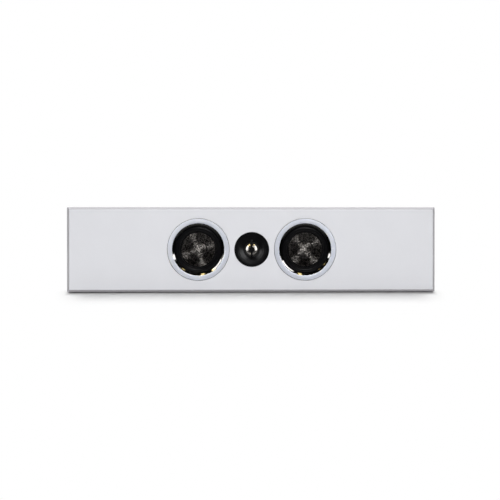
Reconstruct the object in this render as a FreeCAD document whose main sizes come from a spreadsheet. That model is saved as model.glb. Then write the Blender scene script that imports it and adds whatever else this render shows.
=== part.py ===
"""On-wall loudspeaker: sealed cabinet, two cone woofers, a dome tweeter, a crossover and screw terminals.

Millimetres. Seen from the front, +X is right and +Z is up; +Y goes into the wall. The origin is the middle of
the rear face, which lies on the wall.
"""
import FreeCAD
import Part
import Sketcher

import math
import operator
import os
from types import SimpleNamespace

SIZES = {
    # Cabinet
    "cabinet_width": 840,
    "cabinet_height": 193,
    "cabinet_depth": 105,
    "baffle_thickness": 18,
    "panel_thickness": 15,
    "front_bevel": 5,
    "corner_round": 2.5,
    "brace_gap": 28,
    "brace_thickness": 12,
    "brace_window_height": 104,
    "brace_window_depth": 36,
    "brace_window_round": 10,
    "foam_thickness": 30,
    "foam_margin": 6,
    # Woofer trim ring
    "driver_gap": 11.5,
    "ring_radius": 70.8,
    "ring_seam": 0.5,
    "ring_proud": 1,
    "ring_round": 0.8,
    "ring_face_width": 10.8,
    "ring_bevel_width": 5.2,
    "ring_bevel_depth": 3.4,
    "ring_wall": 2.2,
    "ring_thickness": 2.5,
    "ring_fit": 0.3,
    # Woofer basket
    "flange_radius": 68,
    "flange_thickness": 5.5,
    "gasket_thickness": 1.5,
    "basket_wall": 2.6,
    "basket_depth": 29.6,
    "basket_foot": 9,
    "basket_bore": 20.5,
    "spoke_count": 6,
    "window_margin": 4,
    "window_inner_width": 20,
    "window_outer_width": 43,
    "woofer_screw_circle": 64.2,
    "woofer_screw_head": 3.2,
    # Woofer diaphragm
    "rubber_thickness": 0.8,
    "roll_land": 0.6,
    "roll_width": 12.8,
    "roll_height": 5.4,
    "cone_land": 2.8,
    "cone_wall": 1,
    "cone_depth": 18.6,
    "cap_radius": 19.4,
    "cap_height": 6.5,
    "cap_wall": 0.6,
    "coil_radius": 16.1,
    "former_wall": 0.3,
    "former_length": 36,
    "winding_wall": 0.8,
    "winding_length": 12,
    "spider_radius": 43,
    "spider_land": 7,
    "spider_neck": 3,
    "spider_wall": 0.7,
    "spider_wave": 0.9,
    # Woofer motor
    "seat_radius": 40.5,
    "plate_radius": 40,
    "plate_thickness": 6,
    "gap_outer": 17.6,
    "pole_radius": 15.1,
    "pole_vent": 4.5,
    "magnet_bore": 23,
    "magnet_radius": 45,
    "magnet_thickness": 14,
    # Tweeter faceplate
    "tweeter_radius": 39.7,
    "tweeter_seam": 0.3,
    "tweeter_proud": 0.5,
    "tweeter_flange": 4.5,
    "horn_mouth": 36,
    "horn_throat": 17.2,
    "horn_depth": 6.5,
    "horn_flare": 42,
    "throat_wall": 1.5,
    "boss_radius": 28,
    "boss_wall": 7.6,
    "boss_depth": 15,
    "tweeter_hole": 30,
    "bridge_width": 4.2,
    "bridge_length": 48,
    "bridge_depth": 1.2,
    "bridge_rise": 2.8,
    "bridge_thickness": 1.6,
    "plug_radius": 6,
    "plug_front": 0.3,
    "plug_back": 3.2,
    "plug_round": 1.2,
    "tweeter_screw_circle": 34.5,
    "tweeter_screw_grip": 3,
    # Tweeter dome and motor
    "dome_radius": 13.3,
    "dome_height": 4.2,
    "dome_wall": 0.4,
    "dome_skirt": 1,
    "dome_drop": 0.4,
    "film_wall": 0.6,
    "film_roll_height": 1.2,
    "film_land": 0.7,
    "tweeter_coil_wall": 0.3,
    "tweeter_coil_length": 6.2,
    "tweeter_winding_wall": 0.6,
    "tweeter_winding_length": 3.4,
    "cup_radius": 20,
    "cup_gap": 14.1,
    "cup_depth": 13.2,
    "cup_floor": 4,
    "slug_radius": 12.2,
    "slug_thickness": 3,
    "slug_drop": 0.8,
    "slug_magnet_radius": 11.8,
    "chamber_radius": 23,
    "chamber_ledge": 1.5,
    "chamber_overlap": 9,
    "chamber_depth": 10,
    "chamber_wall": 2,
    # Screws
    "screw_radius": 1.75,
    "screw_head_height": 2.2,
    "woofer_screw_length": 13,
    "small_screw_radius": 1.5,
    "small_screw_head": 3,
    "small_screw_head_height": 2,
    "small_screw_length": 11,
    "screw_slack": 0.25,
    # Terminal cup and screw terminals
    "terminal_margin": 7.5,
    "terminal_width": 66,
    "terminal_height": 50,
    "terminal_depth": 26,
    "terminal_wall": 2.6,
    "terminal_floor": 3,
    "terminal_flange": 4,
    "terminal_rim": 9,
    "terminal_round": 7,
    "terminal_fit": 0.3,
    "post_spacing": 19.05,
    "post_radius": 3,
    "post_setback": 3,
    "post_collar_radius": 6.2,
    "post_collar": 3,
    "post_stud": 11,
    "socket_radius": 2,
    "socket_depth": 16,
    "wire_hole_radius": 1.2,
    "wire_hole_rise": 1.9,
    "knob_radius": 6.8,
    "knob_length": 15.4,
    "knob_rest_gap": 0.3,
    "knob_bore": 4.4,
    "knob_lip": 1,
    "knob_round": 1.2,
    "flute_radius": 0.9,
    "flute_count": 12,
    "insert_slack": 0.05,
    "thread_slack": 0.1,
    "nut_width": 9,
    "nut_height": 4,
    # Keyhole hangers
    "keyhole_spacing": 406.4,
    "keyhole_margin": 8,
    "keyhole_plate_width": 30,
    "keyhole_plate_height": 56,
    "keyhole_plate_round": 4,
    "keyhole_plate_thickness": 1.5,
    "keyhole_recess": 2.5,
    "keyhole_entry_radius": 5,
    "keyhole_slot_width": 5.4,
    "keyhole_slot_length": 13,
    "keyhole_pocket_margin": 2.5,
    "keyhole_pocket_depth": 12,
    "keyhole_screw_pitch": 44,
    # Crossover
    "board_gap": 4.5,
    "board_margin": 4,
    "board_height": 104,
    "board_thickness": 1.6,
    "board_round": 4,
    "standoff_height": 8,
    "standoff_radius": 4.5,
    "standoff_inset": 9,
    "bobbin_radius": 21,
    "bobbin_flange": 2,
    "bobbin_bore": 5,
    "winding_depth": 3,
    "bobbin_height": 24,
    "air_coil_radius": 16,
    "air_coil_bore": 8,
    "air_coil_height": 13,
    "capacitor_length": 32,
    "capacitor_width": 15,
    "capacitor_height": 24,
    "capacitor_pitch": 20,
    "resistor_length": 36,
    "resistor_width": 10,
    "resistor_pitch": 17,
}

WOOFER_SCREWS = 4
TWEETER_SCREWS = 3
SPIDER_WAVES = 6
SIDES = (("left", -1), ("right", 1))
POLES = (("red", 1), ("black", -1))
CORNERS = ((1, -1), (1, 1), (-1, 1), (-1, -1))

# Local frames: depth counted from the front with local Y down, or from the wall with local Y up
FROM_FRONT = FreeCAD.Rotation(FreeCAD.Vector(1, 0, 0), -90)
FROM_WALL = FreeCAD.Rotation(FreeCAD.Vector(1, 0, 0), 90)

OPERATIONS = {"+": operator.add, "-": operator.sub, "*": operator.mul, "/": operator.truediv}
COUNTER_CLOCKWISE = 1
CLOCKWISE = -1


class Size:
    """A length that knows its number and the sheet formula that keeps it up to date."""

    def __init__(self, number, formula):
        self.number = number
        self.formula = formula

    def __add__(self, other):
        return joined(self, "+", other)

    def __radd__(self, other):
        return joined(other, "+", self)

    def __sub__(self, other):
        return joined(self, "-", other)

    def __rsub__(self, other):
        return joined(other, "-", self)

    def __mul__(self, other):
        return joined(self, "*", other)

    def __rmul__(self, other):
        return joined(other, "*", self)

    def __truediv__(self, other):
        return joined(self, "/", other)

    def __neg__(self):
        return joined(-1, "*", self)


class Arc:
    """A bend of a path between two corners, less than half a circle."""

    def __init__(self, radius, direction):
        self.radius = as_size(radius)
        self.direction = direction


def as_size(thing):
    """Gives a plain number as a Size."""
    return thing if isinstance(thing, Size) else Size(thing, str(thing))


def joined(left, sign, right):
    """Joins two sizes by an arithmetic sign."""
    left = as_size(left)
    right = as_size(right)
    number = OPERATIONS[sign](left.number, right.number)
    return Size(number, f"({left.formula} {sign} ({right.formula}))")


def root(size):
    """Gives the square root of a size."""
    return Size(math.sqrt(size.number), f"sqrt({size.formula})")


def cap_arc(radius, height):
    """Gives the sphere radius of a cap from its edge radius and its height."""
    return (radius * radius + height * height) / (2 * height)


def around(radius, count, start):
    """Gives the middles of copies spread evenly round a circle, the first at a start angle in degrees."""
    angles = [math.radians(start + 360 * index / count) for index in range(count)]
    return [(radius * round(math.cos(angle), 9), radius * round(math.sin(angle), 9)) for angle in angles]


DOC = FreeCAD.newDocument("OnWallSpeaker")
SHEET = DOC.addObject("Spreadsheet::Sheet", "Sizes")
for row, (alias, number) in enumerate(SIZES.items(), 1):
    SHEET.set(f"A{row}", alias)
    SHEET.set(f"B{row}", str(number))
    SHEET.setAlias(f"B{row}", alias)
DOC.recompute()
S = SimpleNamespace(**{alias: Size(number, f"Sizes.{alias}") for alias, number in SIZES.items()})
PIECES = []


# Drawing

def bind(thing, path, size):
    """Ties a property of an object to the sizes."""
    thing.setExpression(path, as_size(size).formula)


def place(thing, frame, x, y, z):
    """Turns an object into a local frame and ties its place to the sizes."""
    thing.Placement.Rotation = frame
    for axis, size in (("x", x), ("y", y), ("z", z)):
        bind(thing, f"Placement.Base.{axis}", size)


def new_body(label, frame, x=0, y=0, z=0):
    """Starts a body in a local frame."""
    body = DOC.addObject("PartDesign::Body", "Body")
    body.Label = label
    place(body, frame, x, y, z)
    return body


def origin_part(body, role):
    """Finds a plane or an axis of a body's own origin."""
    return next(part for part in body.Origin.OriginFeatures if part.Role == role)


def new_sketch(body, plane="XY_Plane", offset=0):
    """Starts a sketch on a plane of the body's origin, moved along the plane's normal."""
    sketch = body.newObject("Sketcher::SketchObject", "Sketch")
    sketch.AttachmentSupport = [(origin_part(body, plane), "")]
    sketch.MapMode = "FlatFace"
    bind(sketch, "AttachmentOffset.Base.z", offset)
    return sketch


def pin(sketch, geometry, point, u, v):
    """Holds a point of a sketch at its place from the origin."""
    for kind, axis, size in (("DistanceX", -2, as_size(u)), ("DistanceY", -1, as_size(v))):
        if size.formula == "0":
            sketch.addConstraint(Sketcher.Constraint("PointOnObject", geometry, point, axis))
        else:
            held = Sketcher.Constraint(kind, -1, 1, geometry, point, size.number)
            bind(sketch, f"Constraints[{sketch.addConstraint(held)}]", size)


def add_arc(sketch, start, end, bend):
    """Adds a bent side; gives its number and which of its points start and end the side."""
    chord = end - start
    radius = bend.radius.number
    rise = math.sqrt(max(radius ** 2 - chord.Length ** 2 / 4, 0))
    normal = FreeCAD.Vector(-chord.y, chord.x, 0).normalize()
    centre = start + chord / 2 + normal * (rise * bend.direction)
    first, last = (start, end) if bend.direction == COUNTER_CLOCKWISE else (end, start)
    angles = [math.atan2(point.y - centre.y, point.x - centre.x) for point in (first, last)]
    circle = Part.Circle(centre, FreeCAD.Vector(0, 0, 1), radius)
    side = sketch.addGeometry(Part.ArcOfCircle(circle, *angles), False)
    held = sketch.addConstraint(Sketcher.Constraint("Radius", side, radius))
    bind(sketch, f"Constraints[{held}]", bend.radius)
    return (side, 1, 2) if bend.direction == COUNTER_CLOCKWISE else (side, 2, 1)


def draw(sketch, path):
    """Draws a closed path of corners (u, v), with an Arc between two corners where that side bends."""
    corners = []
    bends = {}
    for step in path:
        if isinstance(step, Arc):
            bends[len(corners) - 1] = step
        else:
            corners.append(step)
    points = [FreeCAD.Vector(as_size(u).number, as_size(v).number, 0) for u, v in corners]
    sides = []
    for index, start in enumerate(points):
        end = points[(index + 1) % len(points)]
        if index in bends:
            sides.append(add_arc(sketch, start, end, bends[index]))
        else:
            sides.append((sketch.addGeometry(Part.LineSegment(start, end), False), 1, 2))
    for index, (side, start, _) in enumerate(sides):
        before, _, end = sides[index - 1]
        sketch.addConstraint(Sketcher.Constraint("Coincident", before, end, side, start))
        pin(sketch, side, start, *corners[index])
    return sketch


def draw_circles(sketch, centres, radius):
    """Draws circles of one radius about the given middles."""
    radius = as_size(radius)
    for u, v in centres:
        middle = FreeCAD.Vector(as_size(u).number, as_size(v).number, 0)
        circle = sketch.addGeometry(Part.Circle(middle, FreeCAD.Vector(0, 0, 1), radius.number), False)
        held = sketch.addConstraint(Sketcher.Constraint("Radius", circle, radius.number))
        bind(sketch, f"Constraints[{held}]", radius)
        pin(sketch, circle, 3, u, v)
    return sketch


def rectangle(width, height, u=0, v=0):
    """Gives the path of a rectangle about the point (u, v)."""
    return [(u + across * width / 2, v + up * height / 2) for across, up in CORNERS]


def rounded(width, height, radius, u=0, v=0):
    """Gives the path of a rectangle with rounded corners about the point (u, v)."""
    path = []
    for across, up in CORNERS:
        edge_u = u + across * width / 2
        edge_v = v + up * height / 2
        bends = [(edge_u - across * radius, edge_v), (edge_u, edge_v - up * radius)]
        if across == up:
            bends.reverse()
        path += [bends[0], Arc(radius, COUNTER_CLOCKWISE), bends[1]]
    return path


# Solids

def pad(body, sketch, length):
    """Raises a sketch into a solid along its normal."""
    feature = body.newObject("PartDesign::Pad", "Pad")
    feature.Profile = sketch
    bind(feature, "Length", length)
    DOC.recompute()
    return feature


def cut(body, sketch, depth):
    """Cuts a sketch out of the body along its normal and makes sure that material has gone."""
    before = body.Shape.Volume
    feature = body.newObject("PartDesign::Pocket", "Cut")
    feature.Profile = sketch
    feature.Reversed = True
    bind(feature, "Length", depth)
    DOC.recompute()
    if body.Shape.Volume > before - 0.01:
        raise ValueError(f"a cut in {body.Label} takes nothing away")
    return feature


def repeat(body, feature, count):
    """Repeats a feature of a body evenly round the local Z axis."""
    pattern = body.newObject("PartDesign::PolarPattern", "Pattern")
    pattern.Originals = [feature]
    pattern.Axis = (origin_part(body, "Z_Axis"), [""])
    pattern.Angle = 360
    bind(pattern, "Occurrences", count)
    body.Tip = pattern
    DOC.recompute()


def dress_edges(body, kind, property_name, size, chosen):
    """Bevels or rounds the edges of a body whose bounds pass a test."""
    base = body.Tip
    edges = [f"Edge{index}" for index, edge in enumerate(base.Shape.Edges, 1) if chosen(edge.BoundBox)]
    feature = body.newObject(f"PartDesign::{kind}", kind)
    feature.Base = (base, edges)
    bind(feature, property_name, size)
    DOC.recompute()


def turn(body, path):
    """Turns a path of (radius, depth) corners once round the local Z axis."""
    feature = body.newObject("PartDesign::Revolution", "Turn")
    feature.Profile = draw(new_sketch(body, "XZ_Plane"), path)
    feature.ReferenceAxis = (feature.Profile[0], ["V_Axis"])
    feature.Angle = 360
    DOC.recompute()


def turned(label, path, frame, x=0, y=0, z=0):
    """Makes a whole body by turning one path."""
    body = new_body(label, frame, x, y, z)
    turn(body, path)
    return body


def box(label, lengths, corner):
    """Makes a plain block from its three lengths and its low corner."""
    block = DOC.addObject("Part::Box", "Block")
    block.Label = label
    for name, length in zip(("Length", "Width", "Height"), lengths):
        bind(block, name, length)
    place(block, FreeCAD.Rotation(), *corner)
    return block


def group(label, members):
    """Gathers like pieces into one sub-part."""
    whole = DOC.addObject("Part::Compound", "Group")
    whole.Label = label
    whole.Links = members
    DOC.recompute()
    return whole


def screw(label, head_radius, head_height, radius, length, frame, x, y, z):
    """Makes a pan-head screw, driven along the local Z axis from the top of its head."""
    path = [
        (0, 0),
        (head_radius, 0),
        (head_radius, head_height),
        (radius, head_height),
        (radius, head_height + length),
        (0, head_height + length),
    ]
    return turned(label, path, frame, x, y, z)


def keep(*pieces):
    """Adds finished sub-parts to the list that is written out."""
    PIECES.extend(pieces)


# Stations shared by neighbouring pieces, as depths behind the trim ring's face or the tweeter's rim
WOOFER_X = S.tweeter_radius + S.driver_gap + S.ring_radius
SPIGOT_RADIUS = S.ring_radius - S.ring_face_width
THROAT_RADIUS = SPIGOT_RADIUS - S.ring_bevel_width
RECESS_RADIUS = SPIGOT_RADIUS + S.ring_fit
LIP = S.ring_bevel_depth + S.ring_wall
SHELF = LIP + S.rubber_thickness
FLANGE_BACK = S.ring_thickness + S.flange_thickness
WOOFER_REBATE = FLANGE_BACK + S.gasket_thickness
WOOFER_HOLE = RECESS_RADIUS + 1
ROLL_OUTER = THROAT_RADIUS - S.roll_land
ROLL_INNER = ROLL_OUTER - S.roll_width
CONE_EDGE = ROLL_INNER - S.cone_land
NECK = SHELF + S.cone_depth
LEDGE = SHELF + S.basket_depth
SEAT_BACK = LEDGE + S.basket_foot
PLATE_BACK = SEAT_BACK + S.plate_thickness
MAGNET_BACK = PLATE_BACK + S.magnet_thickness
YOKE_BACK = MAGNET_BACK + S.plate_thickness
WOOFER_Y = -(S.cabinet_depth + S.ring_proud)
WOOFER_HEAD_SEAT = S.ring_thickness + S.screw_head_height + S.screw_slack

SHOULDER = S.horn_depth + S.throat_wall
CUP_FACE = SHOULDER + S.film_wall
CUP_BOTTOM = CUP_FACE + S.cup_depth
CUP_BACK = CUP_BOTTOM + S.cup_floor
DOME_EDGE = SHOULDER + S.dome_drop
DOME_INNER = S.dome_radius - S.dome_wall
TWEETER_BORE = S.boss_radius - S.boss_wall
TWEETER_Y = -(S.cabinet_depth + S.tweeter_proud)
TWEETER_REBATE = S.tweeter_flange - S.tweeter_proud

PANEL_HEIGHT = S.cabinet_height - 2 * S.panel_thickness
PANEL_WIDTH = S.cabinet_width - 2 * S.panel_thickness
CARCASE_DEPTH = S.cabinet_depth - S.baffle_thickness
BRACE_X = WOOFER_X + S.flange_radius + S.brace_gap
HANGER_Z = PANEL_HEIGHT / 2 - S.keyhole_margin - S.keyhole_plate_height / 2
TERMINAL_Z = S.terminal_margin + S.terminal_rim + S.terminal_height / 2 - PANEL_HEIGHT / 2
TERMINAL_SCREWS = [
    (across * (S.terminal_width + S.terminal_rim) / 2, up * (S.terminal_height + S.terminal_rim) / 2)
    for across, up in CORNERS
]
BOARD_RIGHT = -(BRACE_X + S.brace_thickness / 2 + S.board_gap)
BOARD_LEFT = S.foam_thickness + S.board_gap - PANEL_WIDTH / 2


# Cabinet

def front_baffle():
    """Makes the bevelled front board with its rebates and holes."""
    body = new_body("front_baffle", FROM_FRONT, y=-S.cabinet_depth)
    pad(body, draw(new_sketch(body), rectangle(S.cabinet_width, S.cabinet_height)), S.baffle_thickness)
    dress_edges(body, "Chamfer", "Size", S.front_bevel, lambda bounds: bounds.ZMax < 0.001)
    dress_edges(body, "Fillet", "Radius", S.corner_round, lambda bounds: bounds.ZLength > 1)
    woofers = [(side * WOOFER_X, 0) for _, side in SIDES]
    rebates = draw_circles(new_sketch(body), woofers, S.ring_radius + S.ring_seam)
    cut(body, rebates, WOOFER_REBATE - S.ring_proud)
    cut(body, draw_circles(new_sketch(body), [(0, 0)], S.tweeter_radius + S.tweeter_seam), TWEETER_REBATE)
    holes = draw_circles(new_sketch(body), woofers, WOOFER_HOLE)
    cut(body, draw_circles(holes, [(0, 0)], S.tweeter_hole), S.baffle_thickness)
    pilots = new_sketch(body, offset=WOOFER_REBATE - S.ring_proud)
    for x, _ in woofers:
        spots = [(x + u, v) for u, v in around(S.woofer_screw_circle, WOOFER_SCREWS, 45)]
        draw_circles(pilots, spots, S.screw_radius)
    cut(body, pilots, S.woofer_screw_length - (WOOFER_REBATE - WOOFER_HEAD_SEAT))
    spots = around(S.tweeter_screw_circle, TWEETER_SCREWS, 30)
    through = draw_circles(new_sketch(body, offset=TWEETER_REBATE), spots, S.screw_radius + S.screw_slack)
    cut(body, through, S.baffle_thickness - TWEETER_REBATE)
    keep(body)


def shell():
    """Makes the long panels with rounded outer corners, the ends, the braces and the end foam."""
    half_width = S.cabinet_width / 2
    half_height = S.cabinet_height / 2
    for label, up in (("top_panel", 1), ("bottom_panel", -1)):
        body = new_body(label, FROM_WALL)
        bend = Arc(S.corner_round, up)
        path = [
            (-half_width, up * (half_height - S.panel_thickness)),
            (half_width, up * (half_height - S.panel_thickness)),
            (half_width, up * (half_height - S.corner_round)),
            bend,
            (half_width - S.corner_round, up * half_height),
            (S.corner_round - half_width, up * half_height),
            bend,
            (-half_width, up * (half_height - S.corner_round)),
        ]
        pad(body, draw(new_sketch(body), path), CARCASE_DEPTH)
        keep(body)
    for label, side in SIDES:
        low = -half_width if side < 0 else half_width - S.panel_thickness
        lengths = (S.panel_thickness, CARCASE_DEPTH, PANEL_HEIGHT)
        keep(box(f"{label}_end_panel", lengths, (low, -CARCASE_DEPTH, -PANEL_HEIGHT / 2)))
    for label, side in SIDES:
        body = new_body(f"{label}_brace", FROM_WALL, x=side * BRACE_X)
        depth = CARCASE_DEPTH - S.panel_thickness
        middle = S.panel_thickness + depth / 2
        sketch = new_sketch(body, "YZ_Plane", -S.brace_thickness / 2)
        draw(sketch, rectangle(PANEL_HEIGHT, depth, 0, middle))
        draw(sketch, rounded(S.brace_window_height, S.brace_window_depth, S.brace_window_round, 0, middle))
        pad(body, sketch, S.brace_thickness)
        keep(body)
    slabs = []
    for label, side in SIDES:
        middle = side * (half_width - S.panel_thickness - S.foam_thickness / 2)
        low = middle - S.foam_thickness / 2
        lengths = (S.foam_thickness, CARCASE_DEPTH - S.panel_thickness, PANEL_HEIGHT - 2 * S.foam_margin)
        slabs.append(box(f"{label}_foam", lengths, (low, -CARCASE_DEPTH, S.foam_margin - PANEL_HEIGHT / 2)))
    keep(group("damping_foam", slabs))


def keyhole_path(length):
    """Gives the outline of a keyhole about its middle: a round entry with a slot going up from it."""
    half = S.keyhole_slot_width / 2
    entry = S.keyhole_entry_radius
    top = length / 2
    meeting = root(entry * entry - half * half) - top
    slot_bend = Arc(half, COUNTER_CLOCKWISE)
    entry_bend = Arc(entry, COUNTER_CLOCKWISE)
    return [
        (half, meeting),
        (half, top),
        slot_bend,
        (0, top + half),
        slot_bend,
        (-half, top),
        (-half, meeting),
        entry_bend,
        (-entry, -top),
        entry_bend,
        (0, -top - entry),
        entry_bend,
        (entry, -top),
        entry_bend,
    ]


def rear_panel():
    """Makes the rear board with the terminal opening and the two hanger pockets."""
    body = new_body("rear_panel", FROM_WALL)
    pad(body, draw(new_sketch(body), rectangle(PANEL_WIDTH, PANEL_HEIGHT)), S.panel_thickness)
    width = S.terminal_width + 2 * S.terminal_rim
    height = S.terminal_height + 2 * S.terminal_rim
    slack = 2 * S.terminal_fit
    rim = rounded(width + slack, height + slack, S.terminal_round + S.terminal_fit, 0, TERMINAL_Z)
    cut(body, draw(new_sketch(body), rim), S.terminal_flange)
    opening = rounded(S.terminal_width + slack, S.terminal_height + slack, S.terminal_round, 0, TERMINAL_Z)
    cut(body, draw(new_sketch(body), opening), S.panel_thickness)
    pilots = [(u, v + TERMINAL_Z) for u, v in TERMINAL_SCREWS]
    sketch = draw_circles(new_sketch(body, offset=S.terminal_flange), pilots, S.small_screw_radius)
    screw_end = S.screw_slack + S.small_screw_head_height + S.small_screw_length
    cut(body, sketch, screw_end - S.terminal_flange)
    seat = S.keyhole_recess + S.keyhole_plate_thickness
    rebates = new_sketch(body)
    pockets = new_sketch(body)
    pilots = new_sketch(body, offset=seat)
    for _, side in SIDES:
        x = side * S.keyhole_spacing / 2
        margin = 2 * S.keyhole_pocket_margin
        pocket_width = 2 * S.keyhole_entry_radius + margin
        pocket_height = S.keyhole_slot_length + S.keyhole_entry_radius + S.keyhole_slot_width / 2 + margin
        middle = HANGER_Z + S.keyhole_slot_width / 4 - S.keyhole_entry_radius / 2
        plate = (S.keyhole_plate_width + slack, S.keyhole_plate_height + slack, S.keyhole_plate_round)
        draw(rebates, rounded(*plate, x, HANGER_Z))
        draw(pockets, rounded(pocket_width, pocket_height, S.keyhole_entry_radius, x, middle))
        spots = [(x, HANGER_Z + up * S.keyhole_screw_pitch / 2) for up in (1, -1)]
        draw_circles(pilots, spots, S.small_screw_radius)
    cut(body, rebates, seat)
    cut(body, pockets, S.keyhole_pocket_depth)
    cut(body, pilots, S.small_screw_length - S.keyhole_plate_thickness)
    keep(body)


def hangers():
    """Makes the slotted steel plates that hang on two wall screws, and the screws that hold them."""
    plates = []
    screws = []
    for label, side in SIDES:
        x = side * S.keyhole_spacing / 2
        body = new_body(f"{label}_keyhole_plate", FROM_WALL, x=x, y=-S.keyhole_recess, z=HANGER_Z)
        outline = rounded(S.keyhole_plate_width, S.keyhole_plate_height, S.keyhole_plate_round)
        sketch = draw(new_sketch(body), outline)
        draw(sketch, keyhole_path(S.keyhole_slot_length))
        spots = [(0, up * S.keyhole_screw_pitch / 2) for up in (1, -1)]
        draw_circles(sketch, spots, S.small_screw_radius + S.screw_slack)
        pad(body, sketch, S.keyhole_plate_thickness)
        plates.append(body)
        for up in (1, -1):
            y = S.small_screw_head_height - S.keyhole_recess
            z = HANGER_Z + up * S.keyhole_screw_pitch / 2
            head = (S.small_screw_head, S.small_screw_head_height, S.small_screw_radius, S.small_screw_length)
            screws.append(screw(f"{label}_keyhole_screw", *head, FROM_WALL, x, y, z))
    keep(group("keyhole_plates", plates), group("keyhole_screws", screws))


# Woofers

def trim_ring(prefix, x):
    """Makes the satin ring with its polished inner bevel."""
    path = [
        (THROAT_RADIUS, S.ring_bevel_depth),
        (SPIGOT_RADIUS, 0),
        (S.ring_radius - S.ring_round, 0),
        Arc(S.ring_round, COUNTER_CLOCKWISE),
        (S.ring_radius, S.ring_round),
        (S.ring_radius, S.ring_thickness),
        (SPIGOT_RADIUS, S.ring_thickness),
        (SPIGOT_RADIUS, LIP),
        (THROAT_RADIUS, LIP),
    ]
    keep(turned(f"{prefix}_trim_ring", path, FROM_FRONT, x, WOOFER_Y))


def basket(prefix, x):
    """Makes the cast basket: flange, six spokes, spider ledge and magnet seat."""
    outer = S.spider_radius + S.basket_wall + S.ring_fit
    path = [
        (S.flange_radius, S.ring_thickness),
        (S.flange_radius, FLANGE_BACK),
        (THROAT_RADIUS + S.basket_wall, FLANGE_BACK),
        (outer, LEDGE),
        (outer, LEDGE + S.basket_wall),
        (S.seat_radius, SEAT_BACK),
        (S.basket_bore, SEAT_BACK),
        (S.basket_bore, SEAT_BACK - S.basket_wall),
        (S.spider_radius - S.spider_land + S.ring_fit, SEAT_BACK - S.basket_wall),
        (S.spider_radius - S.spider_land + S.ring_fit, LEDGE),
        (S.spider_radius + S.ring_fit, LEDGE),
        (THROAT_RADIUS, FLANGE_BACK),
        (THROAT_RADIUS, SHELF),
        (RECESS_RADIUS, SHELF),
        (RECESS_RADIUS, S.ring_thickness),
    ]
    body = turned(f"{prefix}_basket", path, FROM_FRONT, x, WOOFER_Y)
    window = [
        (S.spider_radius - S.spider_land, -S.window_inner_width / 2),
        (S.flange_radius, -S.window_outer_width / 2),
        (S.flange_radius, S.window_outer_width / 2),
        (S.spider_radius - S.spider_land, S.window_inner_width / 2),
    ]
    start = FLANGE_BACK + S.window_margin
    opening = cut(body, draw(new_sketch(body, offset=start), window), LEDGE - S.window_margin - start)
    repeat(body, opening, S.spoke_count)
    spots = around(S.woofer_screw_circle, WOOFER_SCREWS, 45)
    sinks = new_sketch(body, offset=S.ring_thickness)
    draw_circles(sinks, spots, S.woofer_screw_head + S.screw_slack)
    cut(body, sinks, WOOFER_HEAD_SEAT - S.ring_thickness)
    holes = new_sketch(body, offset=S.ring_thickness)
    draw_circles(holes, spots, S.screw_radius + S.screw_slack)
    cut(body, holes, S.flange_thickness)
    keep(body)


def diaphragm(prefix, x):
    """Makes the rubber surround, the cone, its dust cap, the voice coil and the spider."""
    roll = cap_arc(S.roll_width / 2, S.roll_height)
    inside = roll - S.rubber_thickness
    dip = inside - S.roll_height
    middle = (ROLL_OUTER + ROLL_INNER) / 2
    foot = root(inside * inside - dip * dip)
    surround = [
        (SPIGOT_RADIUS - S.ring_fit, LIP),
        (SPIGOT_RADIUS - S.ring_fit, SHELF),
        (middle + foot, SHELF),
        Arc(inside, CLOCKWISE),
        (middle, SHELF - S.roll_height),
        Arc(inside, CLOCKWISE),
        (middle - foot, SHELF),
        (CONE_EDGE, SHELF),
        (CONE_EDGE, LIP),
        (ROLL_INNER, LIP),
        Arc(roll, COUNTER_CLOCKWISE),
        (middle, LIP - S.roll_height),
        Arc(roll, COUNTER_CLOCKWISE),
        (ROLL_OUTER, LIP),
    ]
    cone = [
        (CONE_EDGE, SHELF),
        (ROLL_INNER, SHELF),
        (ROLL_INNER, SHELF + S.rubber_thickness),
        (CONE_EDGE + S.cone_wall, SHELF + S.rubber_thickness),
        (S.coil_radius, NECK + S.cone_wall),
        (S.coil_radius, NECK),
    ]
    slope = S.cone_depth / (CONE_EDGE - S.coil_radius)
    cap_inner = S.cap_radius - 1.5 * S.cap_wall
    cap_edge = SHELF + (CONE_EDGE - S.cap_radius) * slope
    cap_foot = SHELF + (CONE_EDGE - cap_inner) * slope
    crest = cap_edge - S.cap_height
    cap = [
        (0, crest),
        Arc(cap_arc(S.cap_radius, S.cap_height), COUNTER_CLOCKWISE),
        (S.cap_radius, cap_edge),
        (cap_inner, cap_foot),
        Arc(cap_arc(cap_inner, cap_foot - crest - S.cap_wall), CLOCKWISE),
        (0, crest + S.cap_wall),
    ]
    former_inner = S.coil_radius - S.former_wall
    former_front = NECK - S.cone_wall
    former_back = former_front + S.former_length
    winding_front = SEAT_BACK + S.plate_thickness / 2 - S.winding_length / 2
    winding_radius = S.coil_radius + S.winding_wall
    coil = [
        (former_inner, former_front),
        (S.coil_radius, former_front),
        (S.coil_radius, winding_front),
        (winding_radius, winding_front),
        (winding_radius, winding_front + S.winding_length),
        (S.coil_radius, winding_front + S.winding_length),
        (S.coil_radius, former_back),
        (former_inner, former_back),
    ]
    for name, path in (("surround", surround), ("cone", cone), ("dust_cap", cap), ("voice_coil", coil)):
        keep(turned(f"{prefix}_{name}", path, FROM_FRONT, x, WOOFER_Y))
    keep(turned(f"{prefix}_spider", spider_path(), FROM_FRONT, x, WOOFER_Y))


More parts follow.
